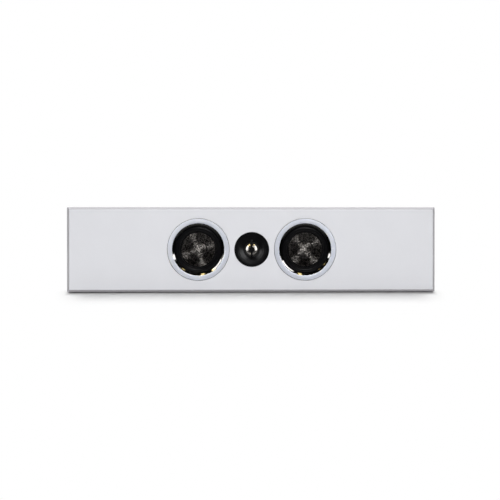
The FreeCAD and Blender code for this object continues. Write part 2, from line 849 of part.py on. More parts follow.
def spider_path():
    """Gives the section of the corrugated spider, from its glued rim in to the former and back."""
    land = S.spider_radius - S.spider_land
    neck = S.coil_radius + S.spider_neck
    step = (land - neck) / SPIDER_WAVES
    radius = cap_arc(step / 2, S.spider_wave)
    front = LEDGE - S.spider_wall
    path = [(S.spider_radius, front)]
    for wave in range(SPIDER_WAVES):
        path += [(land - wave * step, front), Arc(radius, COUNTER_CLOCKWISE if wave % 2 else CLOCKWISE)]
    path += [(neck, front), (S.coil_radius, front), (S.coil_radius, LEDGE)]
    for wave in reversed(range(SPIDER_WAVES)):
        path += [(land - (wave + 1) * step, LEDGE), Arc(radius, CLOCKWISE if wave % 2 else COUNTER_CLOCKWISE)]
    return path + [(land, LEDGE), (S.spider_radius, LEDGE)]


def motor(prefix, x):
    """Makes the front plate, the ring magnet and the back plate with its vented pole."""
    top_plate = [
        (S.gap_outer, SEAT_BACK),
        (S.plate_radius, SEAT_BACK),
        (S.plate_radius, PLATE_BACK),
        (S.gap_outer, PLATE_BACK),
    ]
    magnet = [
        (S.magnet_bore, PLATE_BACK),
        (S.magnet_radius - 1, PLATE_BACK),
        (S.magnet_radius, PLATE_BACK + 1),
        (S.magnet_radius, MAGNET_BACK - 1),
        (S.magnet_radius - 1, MAGNET_BACK),
        (S.magnet_bore, MAGNET_BACK),
    ]
    yoke = [
        (S.pole_vent, SEAT_BACK),
        (S.pole_radius, SEAT_BACK),
        (S.pole_radius, MAGNET_BACK),
        (S.plate_radius, MAGNET_BACK),
        (S.plate_radius, YOKE_BACK),
        (S.pole_vent, YOKE_BACK),
    ]
    for name, path in (("top_plate", top_plate), ("magnet", magnet), ("yoke", yoke)):
        keep(turned(f"{prefix}_{name}", path, FROM_FRONT, x, WOOFER_Y))


def woofers():
    """Makes both woofers with their gaskets and fixing screws."""
    gaskets = []
    screws = []
    spots = around(S.woofer_screw_circle, WOOFER_SCREWS, 45)
    for label, side in SIDES:
        prefix = f"{label}_woofer"
        x = side * WOOFER_X
        trim_ring(prefix, x)
        basket(prefix, x)
        diaphragm(prefix, x)
        motor(prefix, x)
        gasket = new_body(f"{prefix}_gasket", FROM_FRONT, x, WOOFER_Y)
        sketch = draw_circles(new_sketch(gasket, offset=FLANGE_BACK), [(0, 0)], S.flange_radius)
        draw_circles(sketch, [(0, 0)], WOOFER_HOLE)
        pad(gasket, draw_circles(sketch, spots, S.screw_radius + S.screw_slack), S.gasket_thickness)
        gaskets.append(gasket)
        for u, v in spots:
            y = WOOFER_Y + WOOFER_HEAD_SEAT - S.screw_head_height
            head = (S.woofer_screw_head, S.screw_head_height, S.screw_radius, S.woofer_screw_length)
            screws.append(screw(f"{prefix}_screw", *head, FROM_FRONT, x + u, y, -v))
    keep(group("woofer_gaskets", gaskets), group("woofer_screws", screws))


# Tweeter

def tweeter_faceplate():
    """Makes the shallow horn plate with the bridge and plug moulded across its throat."""
    path = [
        (S.horn_throat, S.horn_depth),
        Arc(S.horn_flare, COUNTER_CLOCKWISE),
        (S.horn_mouth, 0),
        (S.tweeter_radius - S.tweeter_proud, 0),
        (S.tweeter_radius, S.tweeter_proud),
        (S.tweeter_radius, S.tweeter_flange),
        (S.boss_radius, S.tweeter_flange),
        (S.boss_radius, S.boss_depth),
        (TWEETER_BORE, S.boss_depth),
        (TWEETER_BORE, SHOULDER),
        (S.horn_throat, SHOULDER),
    ]
    body = turned("tweeter_faceplate", path, FROM_FRONT, y=TWEETER_Y)
    reach = S.bridge_length / 2
    foot = S.bridge_depth + S.bridge_rise
    bow = cap_arc(reach, S.bridge_rise)
    bridge = [
        (-reach, foot),
        Arc(bow, COUNTER_CLOCKWISE),
        (reach, foot),
        (reach, foot + S.bridge_thickness),
        Arc(bow, CLOCKWISE),
        (-reach, foot + S.bridge_thickness),
    ]
    pad(body, draw(new_sketch(body, "YZ_Plane", -S.bridge_width / 2), bridge), S.bridge_width)
    turn(body, [
        (0, S.plug_front),
        (S.plug_radius - S.plug_round, S.plug_front),
        Arc(S.plug_round, COUNTER_CLOCKWISE),
        (S.plug_radius, S.plug_front + S.plug_round),
        (S.plug_radius, S.plug_back),
        (0, S.plug_back),
    ])
    spots = around(S.tweeter_screw_circle, TWEETER_SCREWS, 30)
    pilots = new_sketch(body, offset=S.tweeter_flange - S.tweeter_screw_grip)
    cut(body, draw_circles(pilots, spots, S.screw_radius), S.tweeter_screw_grip)
    keep(body)


def tweeter_diaphragm():
    """Makes the metal dome, its suspension and its voice coil."""
    crest = DOME_EDGE - S.dome_height
    inner_height = S.dome_height - S.dome_wall / 2
    dome = [
        (0, crest),
        Arc(cap_arc(S.dome_radius, S.dome_height), COUNTER_CLOCKWISE),
        (S.dome_radius, DOME_EDGE),
        (S.dome_radius, DOME_EDGE + S.dome_skirt),
        (DOME_INNER, DOME_EDGE + S.dome_skirt),
        (DOME_INNER, crest + S.dome_wall + inner_height),
        Arc(cap_arc(DOME_INNER, inner_height), CLOCKWISE),
        (0, crest + S.dome_wall),
    ]
    inner_foot = S.dome_radius + S.film_land
    roll_half = (S.horn_throat - inner_foot) / 2
    bend = cap_arc(roll_half, S.film_roll_height)
    film = [
        (S.dome_radius, DOME_EDGE),
        (inner_foot, DOME_EDGE),
        Arc(bend, COUNTER_CLOCKWISE),
        (S.horn_throat, SHOULDER),
        (S.cup_radius, SHOULDER),
        (S.cup_radius, CUP_FACE),
        (S.horn_throat, CUP_FACE),
        Arc(bend, CLOCKWISE),
        (inner_foot, DOME_EDGE + S.film_wall),
        (S.dome_radius, DOME_EDGE + S.film_wall),
    ]
    coil_front = DOME_EDGE + S.dome_skirt / 2
    winding_front = DOME_EDGE + S.dome_skirt + S.tweeter_coil_wall
    winding_back = winding_front + S.tweeter_winding_length
    winding_radius = DOME_INNER + S.tweeter_winding_wall
    coil = [
        (DOME_INNER - S.tweeter_coil_wall, coil_front),
        (DOME_INNER, coil_front),
        (DOME_INNER, winding_front),
        (winding_radius, winding_front),
        (winding_radius, winding_back),
        (DOME_INNER, winding_back),
        (DOME_INNER, coil_front + S.tweeter_coil_length),
        (DOME_INNER - S.tweeter_coil_wall, coil_front + S.tweeter_coil_length),
    ]
    for name, path in (("dome", dome), ("suspension", film), ("voice_coil", coil)):
        keep(turned(f"tweeter_{name}", path, FROM_FRONT, y=TWEETER_Y))


def tweeter_motor():
    """Makes the magnet cup, the magnet, its pole plate, the rear chamber and the fixing screws."""
    slug_front = CUP_FACE + S.slug_drop
    slug_back = slug_front + S.slug_thickness
    chamber_front = CUP_BACK - S.chamber_overlap
    chamber_back = CUP_BACK + S.chamber_depth
    ledge = S.cup_radius - S.chamber_ledge
    sleeve = S.cup_radius + S.tweeter_seam
    pole_plate = [(0, slug_front), (S.slug_radius, slug_front), (S.slug_radius, slug_back), (0, slug_back)]
    magnet = [
        (0, slug_back),
        (S.slug_magnet_radius, slug_back),
        (S.slug_magnet_radius, CUP_BOTTOM),
        (0, CUP_BOTTOM),
    ]
    yoke = [
        (S.cup_gap, CUP_FACE),
        (S.cup_radius, CUP_FACE),
        (S.cup_radius, CUP_BACK),
        (0, CUP_BACK),
        (0, CUP_BOTTOM),
        (S.cup_gap, CUP_BOTTOM),
    ]
    chamber = [
        (sleeve, chamber_front),
        (S.chamber_radius, chamber_front),
        (S.chamber_radius, chamber_back + S.chamber_wall),
        (0, chamber_back + S.chamber_wall),
        (0, chamber_back),
        (ledge, chamber_back),
        (ledge, CUP_BACK),
        (sleeve, CUP_BACK),
    ]
    paths = (("pole_plate", pole_plate), ("magnet", magnet), ("yoke", yoke), ("rear_chamber", chamber))
    for name, path in paths:
        keep(turned(f"tweeter_{name}", path, FROM_FRONT, y=TWEETER_Y))
    screws = []
    for u, v in around(S.tweeter_screw_circle, TWEETER_SCREWS, 30):
        length = S.baffle_thickness - TWEETER_REBATE + S.tweeter_screw_grip
        head = (S.woofer_screw_head, S.screw_head_height, S.screw_radius, length)
        screws.append(screw("tweeter_screw", *head, FROM_WALL, u, S.screw_head_height - CARCASE_DEPTH, -v))
    keep(group("tweeter_screws", screws))


# Terminals

def terminal_cup():
    """Makes the moulded recess that holds the two terminals, and its four screws."""
    body = new_body("terminal_cup", FROM_WALL, z=TERMINAL_Z)
    width = S.terminal_width + 2 * S.terminal_rim
    height = S.terminal_height + 2 * S.terminal_rim
    pad(body, draw(new_sketch(body), rounded(width, height, S.terminal_round)), S.terminal_flange)
    bowl = rounded(S.terminal_width, S.terminal_height, S.terminal_round)
    pad(body, draw(new_sketch(body), bowl), S.terminal_depth + S.terminal_floor)
    thick = 2 * S.terminal_wall
    hollow = rounded(S.terminal_width - thick, S.terminal_height - thick, S.terminal_round - S.terminal_wall)
    cut(body, draw(new_sketch(body), hollow), S.terminal_depth)
    posts = [(side * S.post_spacing / 2, 0) for _, side in POLES]
    floor = new_sketch(body, offset=S.terminal_depth)
    cut(body, draw_circles(floor, posts, S.post_radius + S.thread_slack), S.terminal_floor)
    sinks = draw_circles(new_sketch(body), TERMINAL_SCREWS, S.small_screw_head + S.screw_slack)
    cut(body, sinks, S.small_screw_head_height + S.screw_slack)
    holes = draw_circles(new_sketch(body), TERMINAL_SCREWS, S.small_screw_radius + S.screw_slack)
    cut(body, holes, S.terminal_flange)
    keep(body)
    head = (S.small_screw_head, S.small_screw_head_height, S.small_screw_radius, S.small_screw_length)
    screws = [
        screw("terminal_cup_screw", *head, FROM_WALL, u, -S.screw_slack, v + TERMINAL_Z)
        for u, v in TERMINAL_SCREWS
    ]
    keep(group("terminal_cup_screws", screws))


def terminals():
    """Makes the two posts with sockets, their screw knobs on captive inserts, and the nuts inside."""
    nuts = []
    floor = S.terminal_depth
    collar = floor - S.post_collar
    stud_end = floor + S.post_stud
    knob_back = collar - S.knob_rest_gap
    knob_front = knob_back - S.knob_length
    insert_front = knob_front + S.knob_lip + S.insert_slack
    insert_radius = S.knob_bore - S.insert_slack
    thread = S.post_radius + S.thread_slack
    post = [
        (S.socket_radius, S.post_setback),
        (S.post_radius, S.post_setback),
        (S.post_radius, collar),
        (S.post_collar_radius, collar),
        (S.post_collar_radius, floor),
        (S.post_radius, floor),
        (S.post_radius, stud_end),
        (0, stud_end),
        (0, S.post_setback + S.socket_depth),
        (S.socket_radius, S.post_setback + S.socket_depth),
    ]
    insert = [
        (thread, insert_front),
        (insert_radius, insert_front),
        (insert_radius, knob_back),
        (thread, knob_back),
    ]
    knob = [
        (thread + S.thread_slack, knob_front),
        (S.knob_radius - S.knob_round, knob_front),
        Arc(S.knob_round, COUNTER_CLOCKWISE),
        (S.knob_radius, knob_front + S.knob_round),
        (S.knob_radius, knob_back),
        (S.knob_bore, knob_back),
        (S.knob_bore, knob_front + S.knob_lip),
        (thread + S.thread_slack, knob_front + S.knob_lip),
    ]
    for label, side in POLES:
        spot = (FROM_WALL, side * S.post_spacing / 2, 0, TERMINAL_Z)
        body = turned(f"{label}_terminal_post", post, *spot)
        hole = new_sketch(body, "XZ_Plane", -S.post_radius)
        draw_circles(hole, [(0, collar - S.wire_hole_rise)], S.wire_hole_radius)
        cut(body, hole, 2 * S.post_radius)
        keep(body, turned(f"{label}_knob_insert", insert, *spot))
        body = turned(f"{label}_terminal_knob", knob, *spot)
        flute = draw_circles(new_sketch(body, offset=knob_front), [(S.knob_radius, 0)], S.flute_radius)
        repeat(body, cut(body, flute, S.knob_length), S.flute_count)
        keep(body)
        nut = new_body(f"{label}_nut", *spot)
        corner = S.nut_width / math.sqrt(3)
        sketch = draw(new_sketch(nut, offset=floor + S.terminal_floor), around(corner, 6, 0))
        pad(nut, draw_circles(sketch, [(0, 0)], thread), S.nut_height)
        nuts.append(nut)
    keep(group("terminal_nuts", nuts))


# Crossover

def crossover():
    """Makes the crossover board on its standoffs with the coils, capacitors and resistors."""
    width = BOARD_RIGHT - BOARD_LEFT
    middle = (BOARD_LEFT + BOARD_RIGHT) / 2
    under = S.panel_thickness + S.standoff_height
    face = under + S.board_thickness
    board = new_body("crossover_board", FROM_WALL, x=middle)
    outline = rounded(width, S.board_height, S.board_round)
    pad(board, draw(new_sketch(board, offset=under), outline), S.board_thickness)
    standoffs = []
    for across, up in CORNERS:
        radius, height = S.standoff_radius, S.standoff_height
        path = [(0, 0), (radius, 0), (radius, height), (0, height)]
        x = middle + across * (width / 2 - S.standoff_inset)
        z = up * (S.board_height / 2 - S.standoff_inset)
        standoffs.append(turned("board_standoff", path, FROM_WALL, x, -S.panel_thickness, z))
    core = S.bobbin_radius - S.winding_depth
    bobbin = [
        (S.bobbin_bore, 0),
        (S.bobbin_radius, 0),
        (S.bobbin_radius, S.bobbin_flange),
        (core, S.bobbin_flange),
        (core, S.bobbin_height - S.bobbin_flange),
        (S.bobbin_radius, S.bobbin_height - S.bobbin_flange),
        (S.bobbin_radius, S.bobbin_height),
        (S.bobbin_bore, S.bobbin_height),
    ]
    air_coil = [
        (S.air_coil_bore, 0),
        (S.air_coil_radius, 0),
        (S.air_coil_radius, S.air_coil_height),
        (S.air_coil_bore, S.air_coil_height),
    ]
    coil_x = BOARD_LEFT + S.board_margin + S.bobbin_radius
    woofer_coil = turned("woofer_inductor", bobbin, FROM_WALL, coil_x, -face, S.board_height / 5)
    tweeter_coil = turned("tweeter_inductor", air_coil, FROM_WALL, coil_x, -face, -S.board_height / 4)
    capacitors = []
    resistors = []
    for index in range(3):
        left = BOARD_RIGHT - S.board_margin - S.capacitor_length
        lengths = (S.capacitor_length, S.capacitor_height, S.capacitor_width)
        z = (index - 1) * S.capacitor_pitch + S.board_height / 6 - S.capacitor_width / 2
        capacitors.append(box(f"capacitor_{index + 1}", lengths, (left, -face - S.capacitor_height, z)))
    for index in range(2):
        left = BOARD_RIGHT - S.board_margin - S.resistor_length
        lengths = (S.resistor_length, S.resistor_width, S.resistor_width)
        z = index * S.resistor_pitch - S.board_height * 0.4
        resistors.append(box(f"resistor_{index + 1}", lengths, (left, -face - S.resistor_width, z)))
    keep(board, group("board_standoffs", standoffs), woofer_coil, tweeter_coil)
    keep(group("crossover_capacitors", capacitors), group("crossover_resistors", resistors))


def check_and_write():
    """Stops on any fault of the document, then writes every sub-part to its own file."""
    DOC.recompute()
    faults = [thing.Label for thing in DOC.Objects if {"Invalid", "Error"} & set(thing.State)]
    faults += [piece.Label for piece in PIECES if piece.Shape.isNull() or not piece.Shape.isValid()]
    if faults:
        raise ValueError(f"faulty objects: {faults}")
    os.makedirs("parts", exist_ok=True)
    for piece in PIECES:
        piece.Shape.exportStep(f"parts/{piece.Label}.step")


front_baffle()
shell()
rear_panel()
hangers()
woofers()
tweeter_faceplate()
tweeter_diaphragm()
tweeter_motor()
terminal_cup()
terminals()
crossover()
check_and_write()
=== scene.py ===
"""Dresses the on-wall speaker: lacquered cabinet, carbon cones, dome tweeter and rear terminals."""
import logging
import math
from collections.abc import Iterable
from dataclasses import dataclass, replace
from enum import Enum
from functools import cached_property

import bmesh
import bpy
from mathutils import Matrix, Vector


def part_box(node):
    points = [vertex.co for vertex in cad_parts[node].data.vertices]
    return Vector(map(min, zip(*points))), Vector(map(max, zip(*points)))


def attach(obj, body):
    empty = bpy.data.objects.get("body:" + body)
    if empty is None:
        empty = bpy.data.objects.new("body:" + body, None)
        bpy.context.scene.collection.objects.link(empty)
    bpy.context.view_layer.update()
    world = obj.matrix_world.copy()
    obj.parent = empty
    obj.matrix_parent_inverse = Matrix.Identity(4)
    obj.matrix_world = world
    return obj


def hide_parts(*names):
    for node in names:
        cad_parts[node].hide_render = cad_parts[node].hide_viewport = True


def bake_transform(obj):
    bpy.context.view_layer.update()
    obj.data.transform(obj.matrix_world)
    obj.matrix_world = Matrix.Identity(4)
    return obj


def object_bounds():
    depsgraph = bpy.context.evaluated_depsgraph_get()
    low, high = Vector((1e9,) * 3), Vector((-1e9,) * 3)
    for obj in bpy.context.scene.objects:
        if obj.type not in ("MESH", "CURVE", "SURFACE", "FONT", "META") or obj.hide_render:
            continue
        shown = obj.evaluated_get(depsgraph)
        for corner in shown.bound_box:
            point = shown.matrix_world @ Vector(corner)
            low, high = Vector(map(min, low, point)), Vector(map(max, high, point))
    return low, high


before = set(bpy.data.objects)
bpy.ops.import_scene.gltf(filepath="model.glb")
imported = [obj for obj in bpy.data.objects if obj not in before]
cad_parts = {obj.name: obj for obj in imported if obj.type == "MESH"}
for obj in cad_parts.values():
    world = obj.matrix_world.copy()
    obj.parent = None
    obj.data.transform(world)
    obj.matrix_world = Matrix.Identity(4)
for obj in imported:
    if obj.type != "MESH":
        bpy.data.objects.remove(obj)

CAD_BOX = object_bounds()
LOG = logging.getLogger("on_wall_speaker")
MM = 0.001
MERGE_DISTANCE = 1e-6
SHARP_ANGLE = math.radians(32)
FULL_TURN = 360.0
WHITE = (1.0, 1.0, 1.0)
SEEING_RAYS = ("Camera", "Glossy", "Transmission")
MIDDLE_RANGE = (0.3, 0.7)
GLOSS_RANGE = (0.25, 0.75)
GLOSS_SHARE = 0.5
TINT_SHARE = 0.4
MOTTLE_DETAIL = 5.0
MOULD_DETAIL = 2.0
PIT_RANGES = (0.0, 0.8, 0.6, 1.0)
RING_DRIFT = 0.7
COAT_ROUGHNESS = 0.08

Colour = tuple[float, float, float]
Spot = tuple[float, float]
Socket = bpy.types.NodeSocket
BMesh = bmesh.types.BMesh
BMVert = bmesh.types.BMVert
Value = float | tuple | Socket


class Side(Enum):
    """Names a woofer by its side, as seen from the front."""

    LEFT = "left"
    RIGHT = "right"


class Pole(Enum):
    """Names a terminal by its colour."""

    RED = "red"
    BLACK = "black"


class Grain(Enum):
    """Names the fine relief of a finish."""

    LACQUER = "soft ripple of sprayed lacquer"
    MOULDED = "even texture of a spark-eroded mould"
    CAST = "lumps of a powder-coated casting"
    BRUSHED = "straight brush lines along X"
    TURNED = "rings cut about an axis along Y"
    FIBRE = "felted wood fibre"
    CELLS = "open foam cells"
    CLOTH = "plain woven cloth"
    WIRE = "close turns of wire about an axis along Y"


# The stretch and the detail of each grain that is plain noise.
NOISE_GRAINS = {
    Grain.LACQUER: ((1.0, 1.0, 1.0), 1.0),
    Grain.CAST: ((1.0, 1.0, 1.0), 6.0),
    Grain.BRUSHED: ((0.03, 1.0, 1.0), 4.0),
    Grain.FIBRE: ((0.25, 1.0, 0.6), 8.0),
}


class Graph:
    """A node tree, with short calls that add and join its nodes."""

    def __init__(self, tree: bpy.types.NodeTree) -> None:
        """Takes a tree in hand.

        Args:
            tree: The node tree of a material or the world.
        """
        self.nodes = tree.nodes
        self.links = tree.links

    def put(self, socket: Socket, value: Value) -> None:
        """Joins a socket to another one, or sets its own value.

        Args:
            socket: The socket to fill.
            value: Another socket, or the value.
        """
        if isinstance(value, Socket):
            self.links.new(value, socket)
        else:
            socket.default_value = value

    def operate(self, kind: str, operation: str, values: Iterable[Value]) -> bpy.types.Node:
        """Adds a node that has an operation, and fills its inputs.

        Args:
            kind: The node's type.
            operation: Its operation, such as ADD.
            values: Its inputs in order.

        Returns:
            The node.
        """
        node = self.nodes.new(kind)
        node.operation = operation
        for socket, value in zip(node.inputs, values):
            self.put(socket, value)
        return node

    def math(self, operation: str, *values: Value) -> Socket:
        """Adds a Math node and gives its result."""
        return self.operate("ShaderNodeMath", operation, values).outputs[0]

    def vector(self, operation: str, *values: Value) -> Socket:
        """Adds a Vector Math node and gives its vector, or its number for LENGTH."""
        node = self.operate("ShaderNodeVectorMath", operation, values)
        return node.outputs["Value" if operation == "LENGTH" else "Vector"]

    def parts(self, vector: Value) -> tuple[Socket, ...]:
        """Splits a vector.

        Args:
            vector: The vector.

        Returns:
            Its X, Y and Z.
        """
        node = self.nodes.new("ShaderNodeSeparateXYZ")
        self.put(node.inputs[0], vector)
        return tuple(node.outputs)

    def noise(self, vector: Value, size: float, detail: float = 3.0) -> Socket:
        """Adds a Noise Texture.

        Args:
            vector: Where the noise is read.
            size: The size of its lumps in metres.
            detail: How many finer layers it has.

        Returns:
            The noise, from 0 to 1.
        """
        node = self.nodes.new("ShaderNodeTexNoise")
        self.put(node.inputs["Vector"], vector)
        node.inputs["Scale"].default_value = 1 / size
        node.inputs["Detail"].default_value = detail
        return node.outputs["Fac"]

    def cells(self, vector: Value, size: float) -> Socket:
        """Adds a Voronoi Texture.

        Args:
            vector: Where the cells are read.
            size: Their size in metres.

        Returns:
            The distance to the nearest cell's point.
        """
        node = self.nodes.new("ShaderNodeTexVoronoi")
        self.put(node.inputs["Vector"], vector)
        node.inputs["Scale"].default_value = 1 / size
        return node.outputs["Distance"]

    def span(self, value: Value, low: float, high: float, first: float = 0.0, last: float = 1.0,
             smooth: bool = False) -> Socket:
        """Maps a number from one range to another, clamped.

        Args:
            value: The number.
            low: The lower end of its range.
            high: The upper end of its range.
            first: What the lower end becomes.
            last: What the upper end becomes.
            smooth: Whether the change eases in and out.

        Returns:
            The mapped number.
        """
        node = self.nodes.new("ShaderNodeMapRange")
        node.interpolation_type = "SMOOTHSTEP" if smooth else "LINEAR"
        for socket, number in zip(node.inputs, (value, low, high, first, last)):
            self.put(socket, number)
        return node.outputs[0]

    def mix(self, factor: Value, first: Value, second: Value, kind: str = "RGBA") -> Socket:
        """Mixes two colours, vectors or numbers.

        Args:
            factor: 0 for the first and 1 for the second.
            first: A value of the kind, or a socket.
            second: A value of the kind, or a socket.
            kind: The node's data type: RGBA, VECTOR or FLOAT.

        Returns:
            The mixed value.
        """
        node = self.nodes.new("ShaderNodeMix")
        node.data_type = kind
        sockets = [socket for socket in node.inputs if socket.enabled]
        for socket, value in zip(sockets, (factor, first, second)):
            colour = kind == "RGBA" and isinstance(value, tuple)
            self.put(socket, (*value, 1.0) if colour else value)
        return next(socket for socket in node.outputs if socket.enabled)

    def weigh(self, first: Value, second: Value, share: float) -> Socket:
        """Adds two numbers, of which the second has the given share and the first the rest."""
        rest = self.math("MULTIPLY", first, 1 - share)
        return self.math("ADD", rest, self.math("MULTIPLY", second, share))

    def rays(self, *names: str) -> Socket:
        """Gives 1 for the named kinds of ray, such as Camera, and 0 for others.

        Args:
            names: The kinds of ray, at least two.

        Returns:
            The number.
        """
        path = self.nodes.new("ShaderNodeLightPath")
        found = path.outputs[f"Is {names[0]} Ray"]
        for name in names[1:]:
            found = self.math("MAXIMUM", found, path.outputs[f"Is {name} Ray"])
        return found


class Shading(Graph):
    """One material, with its shader and its Object coordinates."""

    def __init__(self, name: str) -> None:
        """Starts a material.

        Args:
            name: The material's name.
        """
        self.material = bpy.data.materials.new(name)
        self.material.use_nodes = True
        super().__init__(self.material.node_tree)
        self.shader = self.nodes["Principled BSDF"]
        self.place = self.nodes.new("ShaderNodeTexCoord").outputs["Object"]

    def set(self, name: str, value: Value) -> None:
        """Sets or joins a socket of the shader by name."""
        self.put(self.shader.inputs[name], value)

    def relief(self, height: Value, depth: float) -> None:
        """Bumps the shader's normal.

        Args:
            height: The height, from 0 to 1.
            depth: How many metres deep that is.
        """
        node = self.nodes.new("ShaderNodeBump")
        node.inputs["Distance"].default_value = depth
        self.put(node.inputs["Height"], height)
        self.set("Normal", node.outputs[0])


@dataclass(frozen=True)
class Finish:
    """A surface with a mottled colour, a mottled gloss and a fine relief."""

    name: str
    colour: Colour
    shade: Colour
    roughness: tuple[float, float]
    grain: Grain
    grain_size: float
    relief: float
    mottle_size: float = 9 * MM
    metal: float = 0.0
    specular: float = 0.5
    coat: float = 0.0
    sheen: float = 0.0
    centre: Spot = (0.0, 0.0)

    @cached_property
    def material(self) -> bpy.types.Material:
        """The finish's material, made when it is first asked for."""
        shading = Shading(self.name)
        mottle = shading.noise(shading.place, self.mottle_size, MOTTLE_DETAIL)
        height = self.height(shading)
        shading.set("Base Color", self.tint(shading, mottle, height))
        gloss = shading.weigh(mottle, height, GLOSS_SHARE)
        shading.set("Roughness", shading.span(gloss, *GLOSS_RANGE, *self.roughness))
        shading.set("Metallic", self.metal)
        shading.set("Specular IOR Level", self.specular)
        shading.set("Coat Weight", self.coat)
        shading.set("Coat Roughness", COAT_ROUGHNESS)
        shading.set("Sheen Weight", self.sheen)
        shading.relief(height, self.relief)
        return shading.material

    def tint(self, shading: Shading, mottle: Value, height: Value) -> Socket:
        """Gives the colour of the surface.

        Args:
            shading: The material in hand.
            mottle: The large soft variation, from 0 to 1.
            height: The fine relief, from 0 to 1.

        Returns:
            The colour.
        """
        spread = shading.weigh(mottle, height, TINT_SHARE)
        return shading.mix(shading.span(spread, *MIDDLE_RANGE), self.colour, self.shade)

    def radius(self, shading: Shading) -> Socket:
        """Measures from the finish's own axis along Y.

        Args:
            shading: The material in hand.

        Returns:
            The distance in metres.
        """
        x, z = self.centre
        flat = shading.vector("MULTIPLY", shading.place, (1.0, 0.0, 1.0))
        return shading.vector("LENGTH", shading.vector("SUBTRACT", flat, (x, 0.0, z)))

    def height(self, shading: Shading) -> Socket:
        """Gives the fine relief of the grain.

        Args:
            shading: The material in hand.

        Returns:
            The height, from 0 to 1.
        """
        place, size = shading.place, self.grain_size
        if self.grain is Grain.TURNED:
            return self.rings(shading)
        if self.grain is Grain.CELLS:
            return shading.cells(place, size)
        if self.grain is Grain.CLOTH:
            return self.threads(shading)
        if self.grain is Grain.WIRE:
            along = shading.math("MULTIPLY", shading.parts(place)[1], math.pi / size)
            return shading.math("ABSOLUTE", shading.math("SINE", along))
        if self.grain is Grain.MOULDED:
            fine = shading.noise(place, size, MOULD_DETAIL)
            pits = shading.span(shading.cells(place, 2 * size), *PIT_RANGES)
            return shading.math("MULTIPLY", fine, pits)
        stretch, detail = NOISE_GRAINS[self.grain]
        return shading.noise(shading.vector("MULTIPLY", place, stretch), size, detail)

    def rings(self, shading: Shading) -> Socket:
        """Cuts uneven rings about the finish's axis.

        Args:
            shading: The material in hand.

        Returns:
            The height, from 0 to 1.
        """
        radius = self.radius(shading)
        wave = shading.math("SINE", shading.math("MULTIPLY", radius, 2 * math.pi / self.grain_size))
        node = shading.nodes.new("ShaderNodeTexNoise")
        node.noise_dimensions = "1D"
        shading.put(node.inputs["W"], radius)
        node.inputs["Scale"].default_value = RING_DRIFT / self.grain_size
        uneven = shading.span(node.outputs["Fac"], *MIDDLE_RANGE)
        return shading.math("MULTIPLY", shading.span(wave, -1.0, 1.0), uneven)

    def threads(self, shading: Shading) -> Socket:
        """Lays a plain weave in the X-Z plane.

        Args:
            shading: The material in hand.

        Returns:
            The height, from 0 to 1.
        """
        x, _, z = shading.parts(shading.place)
        pitch = math.pi / self.grain_size
        waves = [shading.math("SINE", shading.math("MULTIPLY", along, pitch)) for along in (x, z)]
        return shading.span(shading.math("MULTIPLY", *waves), -1.0, 1.0)


@dataclass(frozen=True)
class FacedLacquer(Finish):
    """Lacquer with a white face and a greyer coat on the bevelled border round it."""

    border: Colour = (0.5, 0.5, 0.5)
    face_half: Spot = (0.4, 0.1)

    def tint(self, shading: Shading, mottle: Value, height: Value) -> Socket:
        """Gives the face colour inside the border and the border's own outside it.

        Args:
            shading: The material in hand.
            mottle: The large soft variation, from 0 to 1.
            height: The fine relief, from 0 to 1.

        Returns:
            The colour.
        """
        x, _, z = shading.parts(shading.vector("ABSOLUTE", shading.place))
        beyond = [shading.math("GREATER_THAN", along, half) for along, half in zip((x, z), self.face_half)]
        face = super().tint(shading, mottle, height)
        return shading.mix(shading.math("MAXIMUM", *beyond), face, self.border)


